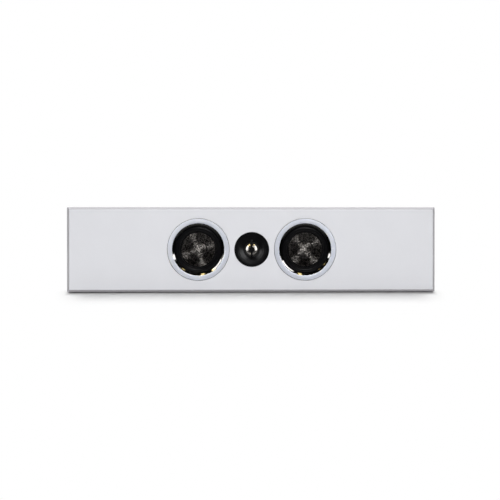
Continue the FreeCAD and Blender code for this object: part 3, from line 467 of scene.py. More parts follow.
@dataclass(frozen=True)
class CarbonWeave:
    """Woven carbon fibre: plain weave of flat tows that shine across their own run."""

    name: str
    tow: float = 2.6 * MM
    dark: Colour = (0.006, 0.0055, 0.005)
    pale: Colour = (0.6, 0.565, 0.535)
    roughness: tuple[float, float] = (0.4, 0.5)
    relief: float = 0.11 * MM
    strand: float = 0.25 * MM
    strand_stretch: float = 0.04
    dullest: float = 0.1
    centre: Spot = (0.0, 0.0)
    turn: float = 0.0

    @cached_property
    def material(self) -> bpy.types.Material:
        """The weave's material, made when it is first asked for."""
        shading = Shading(self.name)
        place = self.turned(shading)
        across, _, up = shading.parts(place)
        steps = [shading.math("DIVIDE", along, self.tow) for along in (across, up)]
        floors = [shading.math("FLOOR", step) for step in steps]
        halves = [shading.math("MULTIPLY", shading.math("FRACT", step), math.pi) for step in steps]
        crowns = [shading.math("SINE", half) for half in halves]
        parity = shading.math("MODULO", shading.math("ABSOLUTE", shading.math("ADD", *floors)), 2.0)
        height = shading.math("MULTIPLY", *crowns)
        strands = [
            shading.noise(shading.vector("MULTIPLY", place, stretch), self.strand)
            for stretch in ((self.strand_stretch, 1.0, 1.0), (1.0, 1.0, self.strand_stretch))
        ]
        fibres = shading.mix(parity, *strands, kind="FLOAT")
        lustre = shading.math("MULTIPLY", fibres, height)
        shine = shading.math("MULTIPLY", lustre, self.uneven(shading, place))
        shading.set("Base Color", shading.mix(shine, self.dark, self.pale))
        shading.set("Roughness", shading.span(fibres, *MIDDLE_RANGE, *self.roughness))
        shading.set("Metallic", 1.0)
        shading.set("Anisotropic", 1.0)
        runs = [tuple(self.turning @ Vector(run)) for run in ((0.0, 0.0, 1.0), (1.0, 0.0, 0.0))]
        shading.set("Tangent", shading.mix(parity, *runs, kind="VECTOR"))
        shading.relief(height, self.relief)
        return shading.material

    @property
    def turning(self) -> Matrix:
        """The turn of the cloth about its axis along Y."""
        return Matrix.Rotation(math.radians(self.turn), 3, "Y")

    def turned(self, shading: Shading) -> Socket:
        """Centres and turns Object coordinates.

        Args:
            shading: The material in hand.

        Returns:
            The coordinates in the cloth's own frame.
        """
        node = shading.nodes.new("ShaderNodeMapping")
        node.vector_type = "TEXTURE"
        node.inputs["Location"].default_value = (self.centre[0], 0.0, self.centre[1])
        node.inputs["Rotation"].default_value = (0.0, math.radians(self.turn), 0.0)
        shading.put(node.inputs["Vector"], shading.place)
        return node.outputs[0]

    def uneven(self, shading: Shading, place: Value) -> Socket:
        """Gives each tow its own shine, since no two lie quite flat.

        Args:
            shading: The material in hand.
            place: The coordinates in the cloth's own frame.

        Returns:
            The shine, up to 1.
        """
        flat = shading.vector("MULTIPLY", place, (1 / self.tow, 0.0, 1 / self.tow))
        node = shading.nodes.new("ShaderNodeTexWhiteNoise")
        shading.put(node.inputs["Vector"], shading.vector("FLOOR", flat))
        return shading.span(node.outputs["Value"], self.dullest, 1.0, self.dullest, 1.0)


SATIN_CARCASE = Finish(
    "satin_carcase_lacquer", (0.425, 0.415, 0.437), (0.405, 0.395, 0.417), (0.52, 0.62), Grain.LACQUER,
    1.6 * MM, 0.012 * MM, mottle_size=60 * MM, specular=0.16)
SATIN_WHITE = FacedLacquer(
    "satin_white_lacquer", (0.70, 0.705, 0.735), (0.68, 0.685, 0.715), (0.46, 0.56), Grain.LACQUER,
    1.6 * MM, 0.012 * MM, mottle_size=60 * MM, specular=0.3, border=SATIN_CARCASE.colour)
RAW_BOARD = Finish(
    "raw_fibreboard", (0.42, 0.30, 0.19), (0.30, 0.20, 0.12), (0.75, 0.9), Grain.FIBRE, 0.9 * MM, 0.10 * MM,
    specular=0.2)
MATT_BLACK = Finish(
    "stippled_black_paint", (0.018, 0.018, 0.02), (0.04, 0.04, 0.043), (0.5, 0.7), Grain.CAST, 2.2 * MM,
    0.35 * MM, mottle_size=40 * MM, specular=0.35)
FOAM = Finish(
    "charcoal_foam", (0.05, 0.05, 0.055), (0.018, 0.018, 0.02), (0.85, 0.95), Grain.CELLS, 1.4 * MM,
    0.5 * MM, specular=0.1, sheen=0.2)
SATIN_SILVER = Finish(
    "satin_silver_ring", (0.77, 0.81, 0.92), (0.72, 0.76, 0.87), (0.45, 0.55), Grain.TURNED, 0.5 * MM,
    0.006 * MM, metal=0.85)
POLISHED_BEVEL = Finish(
    "polished_dark_bevel", (0.036, 0.035, 0.034), (0.028, 0.028, 0.027), (0.06, 0.1), Grain.TURNED,
    0.3 * MM, 0.0006 * MM, metal=1.0)
CAST_GREY = Finish(
    "powder_coated_casting", (0.03, 0.03, 0.033), (0.05, 0.05, 0.054), (0.5, 0.65), Grain.CAST, 0.8 * MM,
    0.08 * MM)
RUBBER = Finish(
    "butyl_rubber", (0.002, 0.002, 0.0025), (0.004, 0.004, 0.0045), (0.26, 0.34), Grain.MOULDED, 0.35 * MM,
    0.008 * MM, specular=0.16)
BLACK_GLUE = Finish(
    "black_rubber_glue", (0.004, 0.004, 0.004), (0.008, 0.008, 0.008), (0.2, 0.32), Grain.LACQUER, 1.3 * MM,
    0.12 * MM, specular=0.3)
COPPER_WIRE = Finish(
    "enamelled_copper", (0.52, 0.20, 0.07), (0.36, 0.12, 0.04), (0.2, 0.35), Grain.WIRE, 0.6 * MM,
    0.25 * MM, metal=1.0, coat=0.6)
SPIDER_CLOTH = Finish(
    "resin_dipped_cloth", (0.50, 0.30, 0.07), (0.36, 0.20, 0.04), (0.6, 0.75), Grain.CLOTH, 0.5 * MM,
    0.2 * MM, specular=0.3)
ZINC_STEEL = Finish(
    "zinc_plated_steel", (0.58, 0.57, 0.54), (0.46, 0.46, 0.45), (0.24, 0.42), Grain.BRUSHED, 0.25 * MM,
    0.01 * MM, metal=1.0)
FERRITE = Finish(
    "sintered_ferrite", (0.03, 0.03, 0.032), (0.055, 0.053, 0.052), (0.45, 0.6), Grain.CAST, 0.5 * MM,
    0.03 * MM)
BLACK_ZINC = Finish(
    "black_zinc_screw", (0.035, 0.034, 0.033), (0.06, 0.058, 0.055), (0.28, 0.45), Grain.CAST, 0.4 * MM,
    0.01 * MM, metal=0.8)
BLACK_PLASTIC = Finish(
    "moulded_black_plastic", (0.014, 0.014, 0.015), (0.022, 0.022, 0.024), (0.42, 0.55), Grain.MOULDED,
    0.5 * MM, 0.03 * MM)
HORN_PLASTIC = Finish(
    "turned_black_horn", (0.002, 0.002, 0.0024), (0.0045, 0.0045, 0.005), (0.3, 0.4), Grain.TURNED,
    4.5 * MM, 0.2 * MM, specular=0.06)
RED_PLASTIC = Finish(
    "clear_red_plastic", (0.42, 0.012, 0.010), (0.30, 0.006, 0.006), (0.12, 0.24), Grain.LACQUER, 0.8 * MM,
    0.01 * MM, coat=0.5)
TITANIUM = Finish(
    "satin_titanium", (0.2, 0.19, 0.18), (0.165, 0.16, 0.15), (0.2, 0.28), Grain.TURNED, 0.35 * MM,
    0.003 * MM, metal=1.0)
DOPED_CLOTH = Finish(
    "doped_suspension_cloth", (0.010, 0.010, 0.010), (0.02, 0.019, 0.018), (0.5, 0.7), Grain.CLOTH,
    0.4 * MM, 0.04 * MM, specular=0.3)
GOLD_PLATE = Finish(
    "gold_plated_brass", (0.83, 0.56, 0.20), (0.70, 0.45, 0.15), (0.12, 0.24), Grain.TURNED, 0.3 * MM,
    0.004 * MM, metal=1.0)
PHENOLIC = Finish(
    "phenolic_board", (0.30, 0.17, 0.06), (0.22, 0.12, 0.04), (0.4, 0.55), Grain.FIBRE, 0.7 * MM, 0.02 * MM)
CAPACITOR_CASE = Finish(
    "capacitor_case", (0.40, 0.035, 0.025), (0.32, 0.025, 0.02), (0.2, 0.34), Grain.LACQUER, 1.2 * MM,
    0.03 * MM, coat=0.3)
CEMENT = Finish(
    "cemented_resistor", (0.66, 0.64, 0.58), (0.52, 0.50, 0.45), (0.7, 0.85), Grain.CAST, 0.7 * MM,
    0.06 * MM, specular=0.3)
CARBON = CarbonWeave("woven_carbon")


class Turning:
    """A section drawn with a pen in radius and depth, then turned about an axis along Y."""

    def __init__(self, middle: Vector) -> None:
        """Starts an empty section.

        Args:
            middle: The point of the axis from which depth is counted.
        """
        self.mesh = bmesh.new()
        self.middle = middle
        self.pen: BMVert | None = None

    def spot(self, radius: float, depth: float) -> Vector:
        """Gives the place of a point of the section."""
        return self.middle + Vector((radius, depth, 0.0))

    def start(self, radius: float, depth: float) -> "Turning":
        """Puts the pen down."""
        self.pen = self.mesh.verts.new(self.spot(radius, depth))
        return self

    def line(self, radius: float, depth: float) -> "Turning":
        """Draws a straight stretch by extruding the pen.

        Args:
            radius: The radius at its end.
            depth: The depth at its end.

        Returns:
            The turning itself.
        """
        self.pen = bmesh.ops.extrude_vert_indiv(self.mesh, verts=[self.pen])["verts"][0]
        self.pen.co = self.spot(radius, depth)
        return self

    def arc(self, radius: float, depth: float, degrees: float, steps: int) -> "Turning":
        """Draws a round stretch by spinning the pen about a point.

        Args:
            radius: The radius of the bend's centre.
            depth: The depth of the bend's centre.
            degrees: The turn of the bend, positive from outwards to inwards of the face.
            steps: The number of stretches.

        Returns:
            The turning itself.
        """
        made = bmesh.ops.spin(self.mesh, geom=[self.pen], cent=self.spot(radius, depth), axis=(0, 0, 1),
                              angle=math.radians(degrees), steps=steps)
        self.pen = next(item for item in made["geom_last"] if isinstance(item, BMVert))
        return self

    def close(self) -> "Turning":
        """Joins the pen to the first point.

        Returns:
            The turning itself.
        """
        self.mesh.verts.ensure_lookup_table()
        self.mesh.edges.new((self.pen, self.mesh.verts[0]))
        return self

    def turn(self, steps: int, first: float = 0.0, sweep: float = FULL_TURN) -> BMesh:
        """Turns the section about the axis.

        Args:
            steps: The number of steps of the turn.
            first: The angle at which it starts, in degrees.
            sweep: The angle that it covers, in degrees.

        Returns:
            The turned mesh, closed at both ends if the turn isn't a full one.
        """
        whole = sweep == FULL_TURN
        mesh = self.mesh
        bmesh.ops.remove_doubles(mesh, verts=mesh.verts, dist=MERGE_DISTANCE)
        turned = Matrix.Rotation(math.radians(first), 3, "Y")
        bmesh.ops.rotate(mesh, verts=mesh.verts, cent=self.middle, matrix=turned)
        section = mesh.verts[:] + mesh.edges[:]
        bmesh.ops.spin(mesh, geom=section, cent=self.middle, axis=(0, 1, 0), angle=math.radians(sweep),
                       steps=steps, use_merge=whole)
        bmesh.ops.remove_doubles(mesh, verts=mesh.verts, dist=MERGE_DISTANCE)
        if not whole:
            bmesh.ops.holes_fill(mesh, edges=[edge for edge in mesh.edges if edge.is_boundary], sides=0)
        bmesh.ops.recalc_face_normals(mesh, faces=mesh.faces)
        return mesh


def shade(mesh: BMesh) -> None:
    """Shades a mesh smooth, with sharp edges where its faces meet at an angle.

    Args:
        mesh: The mesh.
    """
    for face in mesh.faces:
        face.smooth = True
    for edge in mesh.edges:
        edge.smooth = len(edge.link_faces) == 2 and edge.calc_face_angle() < SHARP_ANGLE


def settle(name: str, mesh: BMesh) -> bpy.types.Mesh:
    """Makes mesh data of a finished mesh.

    Args:
        name: The data's name.
        mesh: The mesh, which is freed.

    Returns:
        The data.
    """
    data = bpy.data.meshes.new(name)
    mesh.to_mesh(data)
    mesh.free()
    return data


def add_object(name: str, data: bpy.types.ID) -> bpy.types.Object:
    """Adds an object to the scene.

    Args:
        name: The object's name.
        data: Its mesh, light or camera.

    Returns:
        The object, at the origin.
    """
    added = bpy.data.objects.new(name, data)
    bpy.context.scene.collection.objects.link(added)
    return added


def add_piece(name: str, mesh: BMesh, finishes: Iterable[Finish | CarbonWeave],
              nodes: Iterable[str] = ()) -> bpy.types.Object:
    """Makes an object of a finished mesh.

    Args:
        name: The piece's name.
        mesh: The mesh, which is freed.
        finishes: The finishes, by material index.
        nodes: The CAD nodes that the piece stands for.

    Returns:
        The object, at the origin.
    """
    shade(mesh)
    data = settle(name, mesh)
    for finish in finishes:
        data.materials.append(finish.material)
    piece = add_object(name, data)
    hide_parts(*nodes)
    LOG.info("made %s with %d faces", name, len(data.polygons))
    return piece


def dress(node: str, finish: Finish | CarbonWeave) -> None:
    """Gives a CAD node its finish.

    Args:
        node: The node's name.
        finish: The finish.
    """
    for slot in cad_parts[node].material_slots:
        slot.material = finish.material
    LOG.info("dressed %s in %s", node, finish.name)


def middle_of(node: str) -> Vector:
    """Gives the middle of a CAD node's front, on its axis along Y."""
    low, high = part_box(node)
    return Vector(((low.x + high.x) / 2, low.y, (low.z + high.z) / 2))


@dataclass
class Screws:
    """Pan-head screws with a cross recess, driven from the wall side at the corners of a CAD node's box."""

    node: str
    head_radius: float = 3.0 * MM
    head_height: float = 2.0 * MM
    shank_radius: float = 1.5 * MM
    crown: float = 0.7 * MM
    recess_reach: float = 1.5 * MM
    recess_width: float = 0.7 * MM
    recess_depth: float = 1.1 * MM
    recess_taper: float = 0.7
    recess_cuts: int = 3
    flat_share: float = 1.25
    shoulder_share: float = 0.72
    shoulder_drop: float = 0.12
    turn_steps: int = 48

    def build(self) -> None:
        """Builds the screws of the node as one piece."""
        low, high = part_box(self.node)
        mesh = bmesh.new()
        for x in (low.x + self.head_radius, high.x - self.head_radius):
            for z in (low.z + self.head_radius, high.z - self.head_radius):
                self.add_screw(mesh, Vector((x, high.y, z)), high.y - low.y)
        piece = add_piece(f"{self.node}_detailed", mesh, [BLACK_ZINC], [self.node])
        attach(piece, "cabinet")

    def add_screw(self, mesh: BMesh, top: Vector, length: float) -> None:
        """Adds one screw to a mesh.

        Args:
            mesh: The mesh that takes the screw.
            top: The top of its head.
            length: Its whole length.
        """
        section = Turning(top)
        section.start(self.recess_reach * self.flat_share, 0.0)
        section.line(self.head_radius * self.shoulder_share, -self.shoulder_drop * self.crown)
        section.line(self.head_radius, -self.crown).line(self.head_radius, -self.head_height)
        section.line(self.shank_radius, -self.head_height)
        section.line(self.shank_radius, self.shank_radius - length)
        section.line(0.0, -length)
        screw = section.turn(self.turn_steps)
        self.add_recess(screw, top)
        data = settle("screw", screw)
        mesh.from_mesh(data)
        bpy.data.meshes.remove(data)

    def add_recess(self, screw: BMesh, top: Vector) -> None:
        """Closes the top of a head with a cross-shaped recess.

        Args:
            screw: The screw, open at the top.
            top: The middle of the opening.
        """
        rim = [edge for edge in screw.edges if edge.is_boundary]
        turned = Matrix.Translation(top) @ Matrix.Rotation(math.radians(90), 4, "X")
        made = bmesh.ops.create_grid(screw, x_segments=3, y_segments=3, size=self.recess_reach, matrix=turned)
        grid = made["verts"]
        for vert in grid:
            for axis in (0, 2):
                away = vert.co[axis] - top[axis]
                if abs(away) < self.recess_reach / 2:
                    vert.co[axis] = top[axis] + math.copysign(self.recess_width / 2, away)
        corners = [face for vert in grid if len(vert.link_faces) == 1 for face in vert.link_faces]
        bmesh.ops.delete(screw, geom=corners, context="FACES")
        cross = list({face for vert in grid if vert.is_valid for face in vert.link_faces})
        outline = [edge for face in cross for edge in face.edges if edge.is_boundary]
        bmesh.ops.subdivide_edges(screw, edges=outline, cuts=self.recess_cuts)
        cross = [face for face in screw.faces if any(vert.is_valid and vert in grid for vert in face.verts)]
        border = [edge for edge in screw.edges if edge.is_boundary and edge not in rim]
        bmesh.ops.bridge_loops(screw, edges=rim + border)
        walls = bmesh.ops.extrude_face_region(screw, geom=cross)
        sunk = [item for item in walls["geom"] if isinstance(item, BMVert)]
        bmesh.ops.delete(screw, geom=cross, context="FACES_ONLY")
        bmesh.ops.translate(screw, verts=sunk, vec=(0.0, -self.recess_depth, 0.0))
        taper = (self.recess_taper, 1.0, self.recess_taper)
        bmesh.ops.scale(screw, verts=sunk, vec=taper, space=Matrix.Translation(-top))
        bmesh.ops.recalc_face_normals(screw, faces=screw.faces)


@dataclass
class Cabinet:
    """The lacquered cabinet with its bare braces and foam."""

    bevel: float = 5 * MM
    foam_thickness: float = 30 * MM
    foam_wave: float = 12 * MM
    foam_pitch: float = 36 * MM
    foam_cuts: int = 40

    def build(self) -> None:
        """Builds the foam slabs, the one soft part."""
        for side in Side:
            self.build_foam(side)

    def build_foam(self, side: Side) -> None:
        """Builds a slab of foam with a waved inner face.

        Args:
            side: The end of the cabinet that it fills.
        """
        low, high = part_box("damping_foam")
        inward = 1.0 if side is Side.LEFT else -1.0
        outer = low.x if side is Side.LEFT else high.x
        middle = (low + high) / 2
        middle.x = outer + inward * self.foam_thickness / 2
        mesh = bmesh.new()
        bmesh.ops.create_cube(mesh, size=1.0)
        bmesh.ops.scale(mesh, verts=mesh.verts, vec=(self.foam_thickness, high.y - low.y, high.z - low.z))
        bmesh.ops.translate(mesh, verts=mesh.verts, vec=middle)
        bmesh.ops.subdivide_edges(mesh, edges=mesh.edges, cuts=self.foam_cuts, use_grid_fill=True)
        turn = 2 * math.pi / self.foam_pitch
        for vert in mesh.verts:
            if abs(vert.co.x - outer) > self.foam_thickness - MERGE_DISTANCE:
                swell = math.cos(turn * (vert.co.y - middle.y)) * math.cos(turn * (vert.co.z - middle.z))
                vert.co.x -= inward * self.foam_wave * (0.5 - 0.5 * swell)
        piece = add_piece(f"{side.value}_foam_slab", mesh, [FOAM], ["damping_foam"])
        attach(piece, "cabinet")

    def dress(self) -> None:
        """Gives the panels their lacquer, paint and bare board."""
        _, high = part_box("front_baffle")
        dress("front_baffle", replace(SATIN_WHITE, face_half=(high.x - self.bevel, high.z - self.bevel)))
        for panel in ("top_panel", "bottom_panel", "left_end_panel", "right_end_panel"):
            dress(panel, SATIN_CARCASE)
        for side in Side:
            dress(f"{side.value}_brace", RAW_BOARD)
        dress("rear_panel", MATT_BLACK)


@dataclass
class Woofer:
    """A woofer with its trim ring, rubber surround and woven cone."""

    side: Side
    ring_round: float = 0.8 * MM
    edge_round: float = 0.7 * MM
    ring_face: float = 10.8 * MM
    ring_thickness: float = 2.5 * MM
    bevel_width: float = 5.2 * MM
    bevel_depth: float = 3.4 * MM
    lip: float = 5.6 * MM
    rim_radius: float = 59.7 * MM
    roll_outer: float = 54.2 * MM
    roll_inner: float = 41.4 * MM
    roll_height: float = 5.4 * MM
    cone_edge: float = 38.6 * MM
    rubber: float = 0.8 * MM
    bead: float = 0.9 * MM
    bead_steps: int = 12
    weave_turn: float = 0.0
    sectors: int = 24
    round_steps: int = 6
    crease_segments: int = 4
    painted_seam_shadow_share: float = 0.8
    ring_steps: int = 256
    sector_steps: int = 10
    roll_steps: int = 28

    @property
    def middle(self) -> Vector:
        """The middle of the trim ring's face."""
        return middle_of(self.node("trim_ring"))

    def node(self, part: str) -> str:
        """Gives the name of one of the woofer's CAD nodes."""
        return f"{self.side.value}_woofer_{part}"

    def build(self) -> None:
        """Builds the ring, the bead of glue round the dust cap and the surround."""
        self.build_ring()
        self.build_bead()
        for index in range(self.sectors):
            self.build_sector(index)

    def build_ring(self) -> None:
        """Builds the trim ring: satin face, polished inner bevel and a black outer edge that is painted
        shadow of the seam.
        """
        low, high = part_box(self.node("trim_ring"))
        middle = self.middle
        outer = (high.x - low.x) / 2
        inner = outer - self.ring_face
        throat = inner - self.bevel_width
        section = Turning(middle).start(throat, self.bevel_depth).line(inner, 0.0)
        corner = outer - self.ring_round
        section.line(corner, 0.0).arc(corner, self.ring_round, FULL_TURN / 4, self.round_steps)
        section.line(outer, self.ring_thickness).line(inner, self.ring_thickness).line(inner, self.lip)
        section.line(throat, self.lip).close()
        mesh = section.turn(self.ring_steps)
        reach = inner + MERGE_DISTANCE
        face_level = middle.y + MERGE_DISTANCE
        crease = [
            edge for edge in mesh.edges
            if all((vert.co - middle).length < reach and vert.co.y < face_level for vert in edge.verts)
        ]
        bmesh.ops.bevel(mesh, geom=crease, offset=self.edge_round, affect="EDGES",
                        segments=self.crease_segments, profile=0.5, material=-1)
        bevel_edge = inner - self.edge_round / 2
        # The outer part of the rounded edge gets black plastic (index 2): painted shadow of the seam round
        # the ring.
        painted_seam_shadow_edge = outer - self.painted_seam_shadow_share * self.ring_round
        for face in mesh.faces:
            away = (face.calc_center_median() - middle).xz.length
            face.material_index = (away < bevel_edge) + 2 * (away > painted_seam_shadow_edge)
        spot = (middle.x, middle.z)
        finishes = [
            replace(finish, name=f"{self.side.value}_{finish.name}", centre=spot)
            for finish in (SATIN_SILVER, POLISHED_BEVEL)
        ]
        finishes.append(BLACK_PLASTIC)
        piece = add_piece(self.node("ring"), mesh, finishes, [self.node("trim_ring")])
        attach(piece, "cabinet")

    def build_bead(self) -> None:
        """Builds the round bead of glue that holds the dust cap in the cone."""
        low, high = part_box(self.node("dust_cap"))
        cap_radius = (high.x - low.x) / 2
        foot = Vector((self.middle.x, high.y - self.bead, self.middle.z))
        section = Turning(foot).start(cap_radius + self.bead, 0.0)
        mesh = section.arc(cap_radius, 0.0, FULL_TURN, self.bead_steps).turn(self.ring_steps)
        piece = add_piece(self.node("glue_bead"), mesh, [BLACK_GLUE])
        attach(piece, f"{self.side.value}_diaphragm")

    def build_sector(self, index: int) -> None:
        """Builds one sector of the rubber surround.

        Args:
            index: The sector's number.
        """
        sweep = FULL_TURN / self.sectors
        half = (self.roll_outer - self.roll_inner) / 2
        crest = (self.roll_outer + self.roll_inner) / 2
        roll = (half * half + self.roll_height * self.roll_height) / (2 * self.roll_height)
        inside = roll - self.rubber
        centre = self.lip + roll - self.roll_height
        spread = math.degrees(2 * math.asin(half / roll))
        back = self.lip + self.rubber
        inner_spread = math.degrees(2 * math.acos((centre - back) / inside))
        foot = inside * math.sin(math.radians(inner_spread / 2))
        section = Turning(self.middle).start(self.rim_radius, self.lip).line(self.roll_outer, self.lip)
        section.arc(crest, centre, -spread, self.roll_steps).line(self.cone_edge, self.lip)
        section.line(self.cone_edge, back).line(crest - foot, back)
        section.arc(crest, centre, inner_spread, self.roll_steps).line(self.rim_radius, back).close()
        first = index * sweep
        mesh = section.turn(self.sector_steps, first, sweep)
        name = f"{self.node('surround')}_{index:02d}"
        piece = add_piece(name, mesh, [RUBBER], [self.node("surround")])
        angle = math.radians(first + sweep / 2)
        outwards = Matrix.Rotation(angle, 3, "Y") @ Vector((1.0, 0.0, 0.0))
        start = self.middle + outwards * self.roll_outer * math.cos(math.radians(sweep / 2))
        end = self.middle + outwards * self.roll_inner
        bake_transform(piece)

    def dress(self) -> None:
        """Gives the woofer's CAD nodes their finishes."""
        spot = (self.middle.x, self.middle.z)
        weave = replace(CARBON, name=f"{self.side.value}_{CARBON.name}", centre=spot, turn=self.weave_turn)
        for part, finish in (("cone", weave), ("dust_cap", weave), ("basket", CAST_GREY),
                             ("voice_coil", COPPER_WIRE), ("spider", SPIDER_CLOTH), ("top_plate", ZINC_STEEL),
                             ("magnet", FERRITE), ("yoke", ZINC_STEEL)):
            dress(self.node(part), finish)


@dataclass
class Tweeter:
    """The dome tweeter in its shallow horn."""

    def dress(self) -> None:
        """Gives the tweeter's CAD nodes their finishes."""
        for part, finish in (("faceplate", HORN_PLASTIC), ("dome", TITANIUM), ("suspension", DOPED_CLOTH),
                             ("voice_coil", COPPER_WIRE), ("pole_plate", ZINC_STEEL), ("magnet", FERRITE),
                             ("yoke", ZINC_STEEL), ("rear_chamber", BLACK_PLASTIC), ("screws", BLACK_ZINC)):
            dress(f"tweeter_{part}", finish)


@dataclass
class Terminals:
    """The recessed screw terminals on the back."""

    def build(self) -> None:
        """Builds the screws that hold the cup."""
        Screws("terminal_cup_screws").build()

    def dress(self) -> None:
        """Gives the cup, posts, inserts, knobs and nuts their finishes."""
        dress("terminal_cup", BLACK_PLASTIC)
        dress("terminal_nuts", GOLD_PLATE)
        for pole, finish in ((Pole.RED, RED_PLASTIC), (Pole.BLACK, BLACK_PLASTIC)):
            post = f"{pole.value}_terminal_post"
            middle = middle_of(post)
            gold = replace(GOLD_PLATE, name=f"{pole.value}_post_gold", centre=(middle.x, middle.z))
            dress(post, gold)
            dress(f"{pole.value}_knob_insert", gold)
            dress(f"{pole.value}_terminal_knob", finish)


@dataclass
class Hangers:
    """The keyhole plates and their screws."""

    def build(self) -> None:
        """Builds the screws that hold the plates."""
        Screws("keyhole_screws").build()

    def dress(self) -> None:
        """Gives the plates their zinc."""
        dress("keyhole_plates", ZINC_STEEL)


@dataclass
class Crossover:
    """The crossover board and its components."""

    def dress(self) -> None:
        """Gives the board, its feet and its components their finishes."""
        for node, finish in (("crossover_board", PHENOLIC), ("board_standoffs", BLACK_PLASTIC),
                             ("woofer_inductor", COPPER_WIRE), ("tweeter_inductor", COPPER_WIRE),
                             ("crossover_capacitors", CAPACITOR_CASE), ("crossover_resistors", CEMENT),
                             ("woofer_gaskets", RUBBER), ("woofer_screws", BLACK_ZINC)):
            dress(node, finish)


def show_only(light: bpy.types.Object, pieces: Iterable[str]) -> None:
    """Lets some pieces alone show a light.

    Args:
        light: The light.
        pieces: The names of the pieces, which are there already.
    """
    shown = bpy.data.collections.new(light.name)
    for piece in pieces:
        shown.objects.link(bpy.data.objects[piece])
    light.light_linking.receiver_collection = shown


def add_light(name: str, size: Spot, power: float) -> bpy.types.Object:
    """Adds an area light that the camera doesn't see.

    Args:
        name: The light's name.
        size: Its width and height in metres.
        power: Its power in watts.

    Returns:
        The light, at the origin.
    """
    data = bpy.data.lights.new(name, "AREA")
    data.shape = "RECTANGLE"
    data.size, data.size_y = size
    data.energy = power
    light = add_object(name, data)
    light.visible_camera = False
    LOG.info("lit %s", name)
    return light


RINGS = ("left_woofer_ring", "right_woofer_ring")


@dataclass(frozen=True)
class Card:
    """A small light that only the gloss of some pieces shows, placed where a driver mirrors it.

    Its azimuth is counted from the right upwards, and its lean from the driver's axis. Its arc and
    its width are angles too, and its arc runs round the axis.
    """

    name: str
    driver: str
    azimuth: float
    lean: float
    reach: float
    arc: float
    width: float
    glow: float = 34.0
    colour: Colour = WHITE
    shown_by: tuple[str, ...] = RINGS

    def build(self) -> None:
        """Adds the light, which faces its driver, once the pieces that show it are there."""
        azimuth, lean = math.radians(self.azimuth), math.radians(self.lean)
        away = Vector((math.cos(azimuth), -1 / math.tan(lean), math.sin(azimuth))) * self.reach
        size = 2 * away.length * math.tan(math.radians(self.width / 2))
        size_y = 2 * self.reach * math.tan(math.radians(self.arc / 2))
        light = add_light(self.name, (size, size_y), self.glow * math.pi * size * size_y)
        light.data.color = self.colour
        outwards = away.normalized()
        round_axis = outwards.cross(Vector((0.0, 1.0, 0.0))).normalized()
        turned = Matrix((round_axis.cross(outwards), round_axis, outwards)).transposed()
        light.matrix_world = Matrix.Translation(middle_of(self.driver) + away) @ turned.to_4x4()
        light.visible_diffuse = False
        show_only(light, self.shown_by)


LEFT_RING, RIGHT_RING, HORN = "left_woofer_trim_ring", "right_woofer_trim_ring", "tweeter_faceplate"
WARM = (1.0, 0.8, 0.36)
DOME = ("tweeter_dome",)
CARDS = (
    Card("near_left_card", LEFT_RING, 141.5, 63.5, 0.75, 31.0, 10.0),
    Card("far_right_card", LEFT_RING, 16.0, 63.0, 1.3, 12.0, 8.0),
    Card("near_right_card", RIGHT_RING, 40.0, 66.5, 0.75, 33.0, 10.0),
    Card("far_left_card", RIGHT_RING, 165.0, 59.5, 1.3, 11.0, 8.0),
    Card("horn_right_card", HORN, 28.0, 46.0, 1.5, 50.0, 20.0, 26.0, shown_by=(HORN,)),
    Card("horn_left_card", HORN, 152.0, 46.0, 1.5, 50.0, 20.0, 17.0, shown_by=(HORN,)),
    Card("dome_right_card", HORN, 5.0, 66.0, 0.9, 80.0, 50.0, 6.5, shown_by=DOME),
    Card("dome_left_card", HORN, 175.0, 66.0, 0.9, 80.0, 50.0, 6.5, shown_by=DOME),
    Card("warm_lamp_right", LEFT_RING, 52.0, 64.8, 0.66, 7.0, 7.0, 30.0, WARM, RINGS + DOME),
    Card("warm_lamp_middle", LEFT_RING, 100.0, 59.3, 0.53, 8.0, 7.0, 30.0, WARM, RINGS + DOME),
    Card("warm_lamp_left", LEFT_RING, 127.0, 57.6, 0.63, 9.0, 10.0, 30.0, WARM, RINGS + DOME),
)


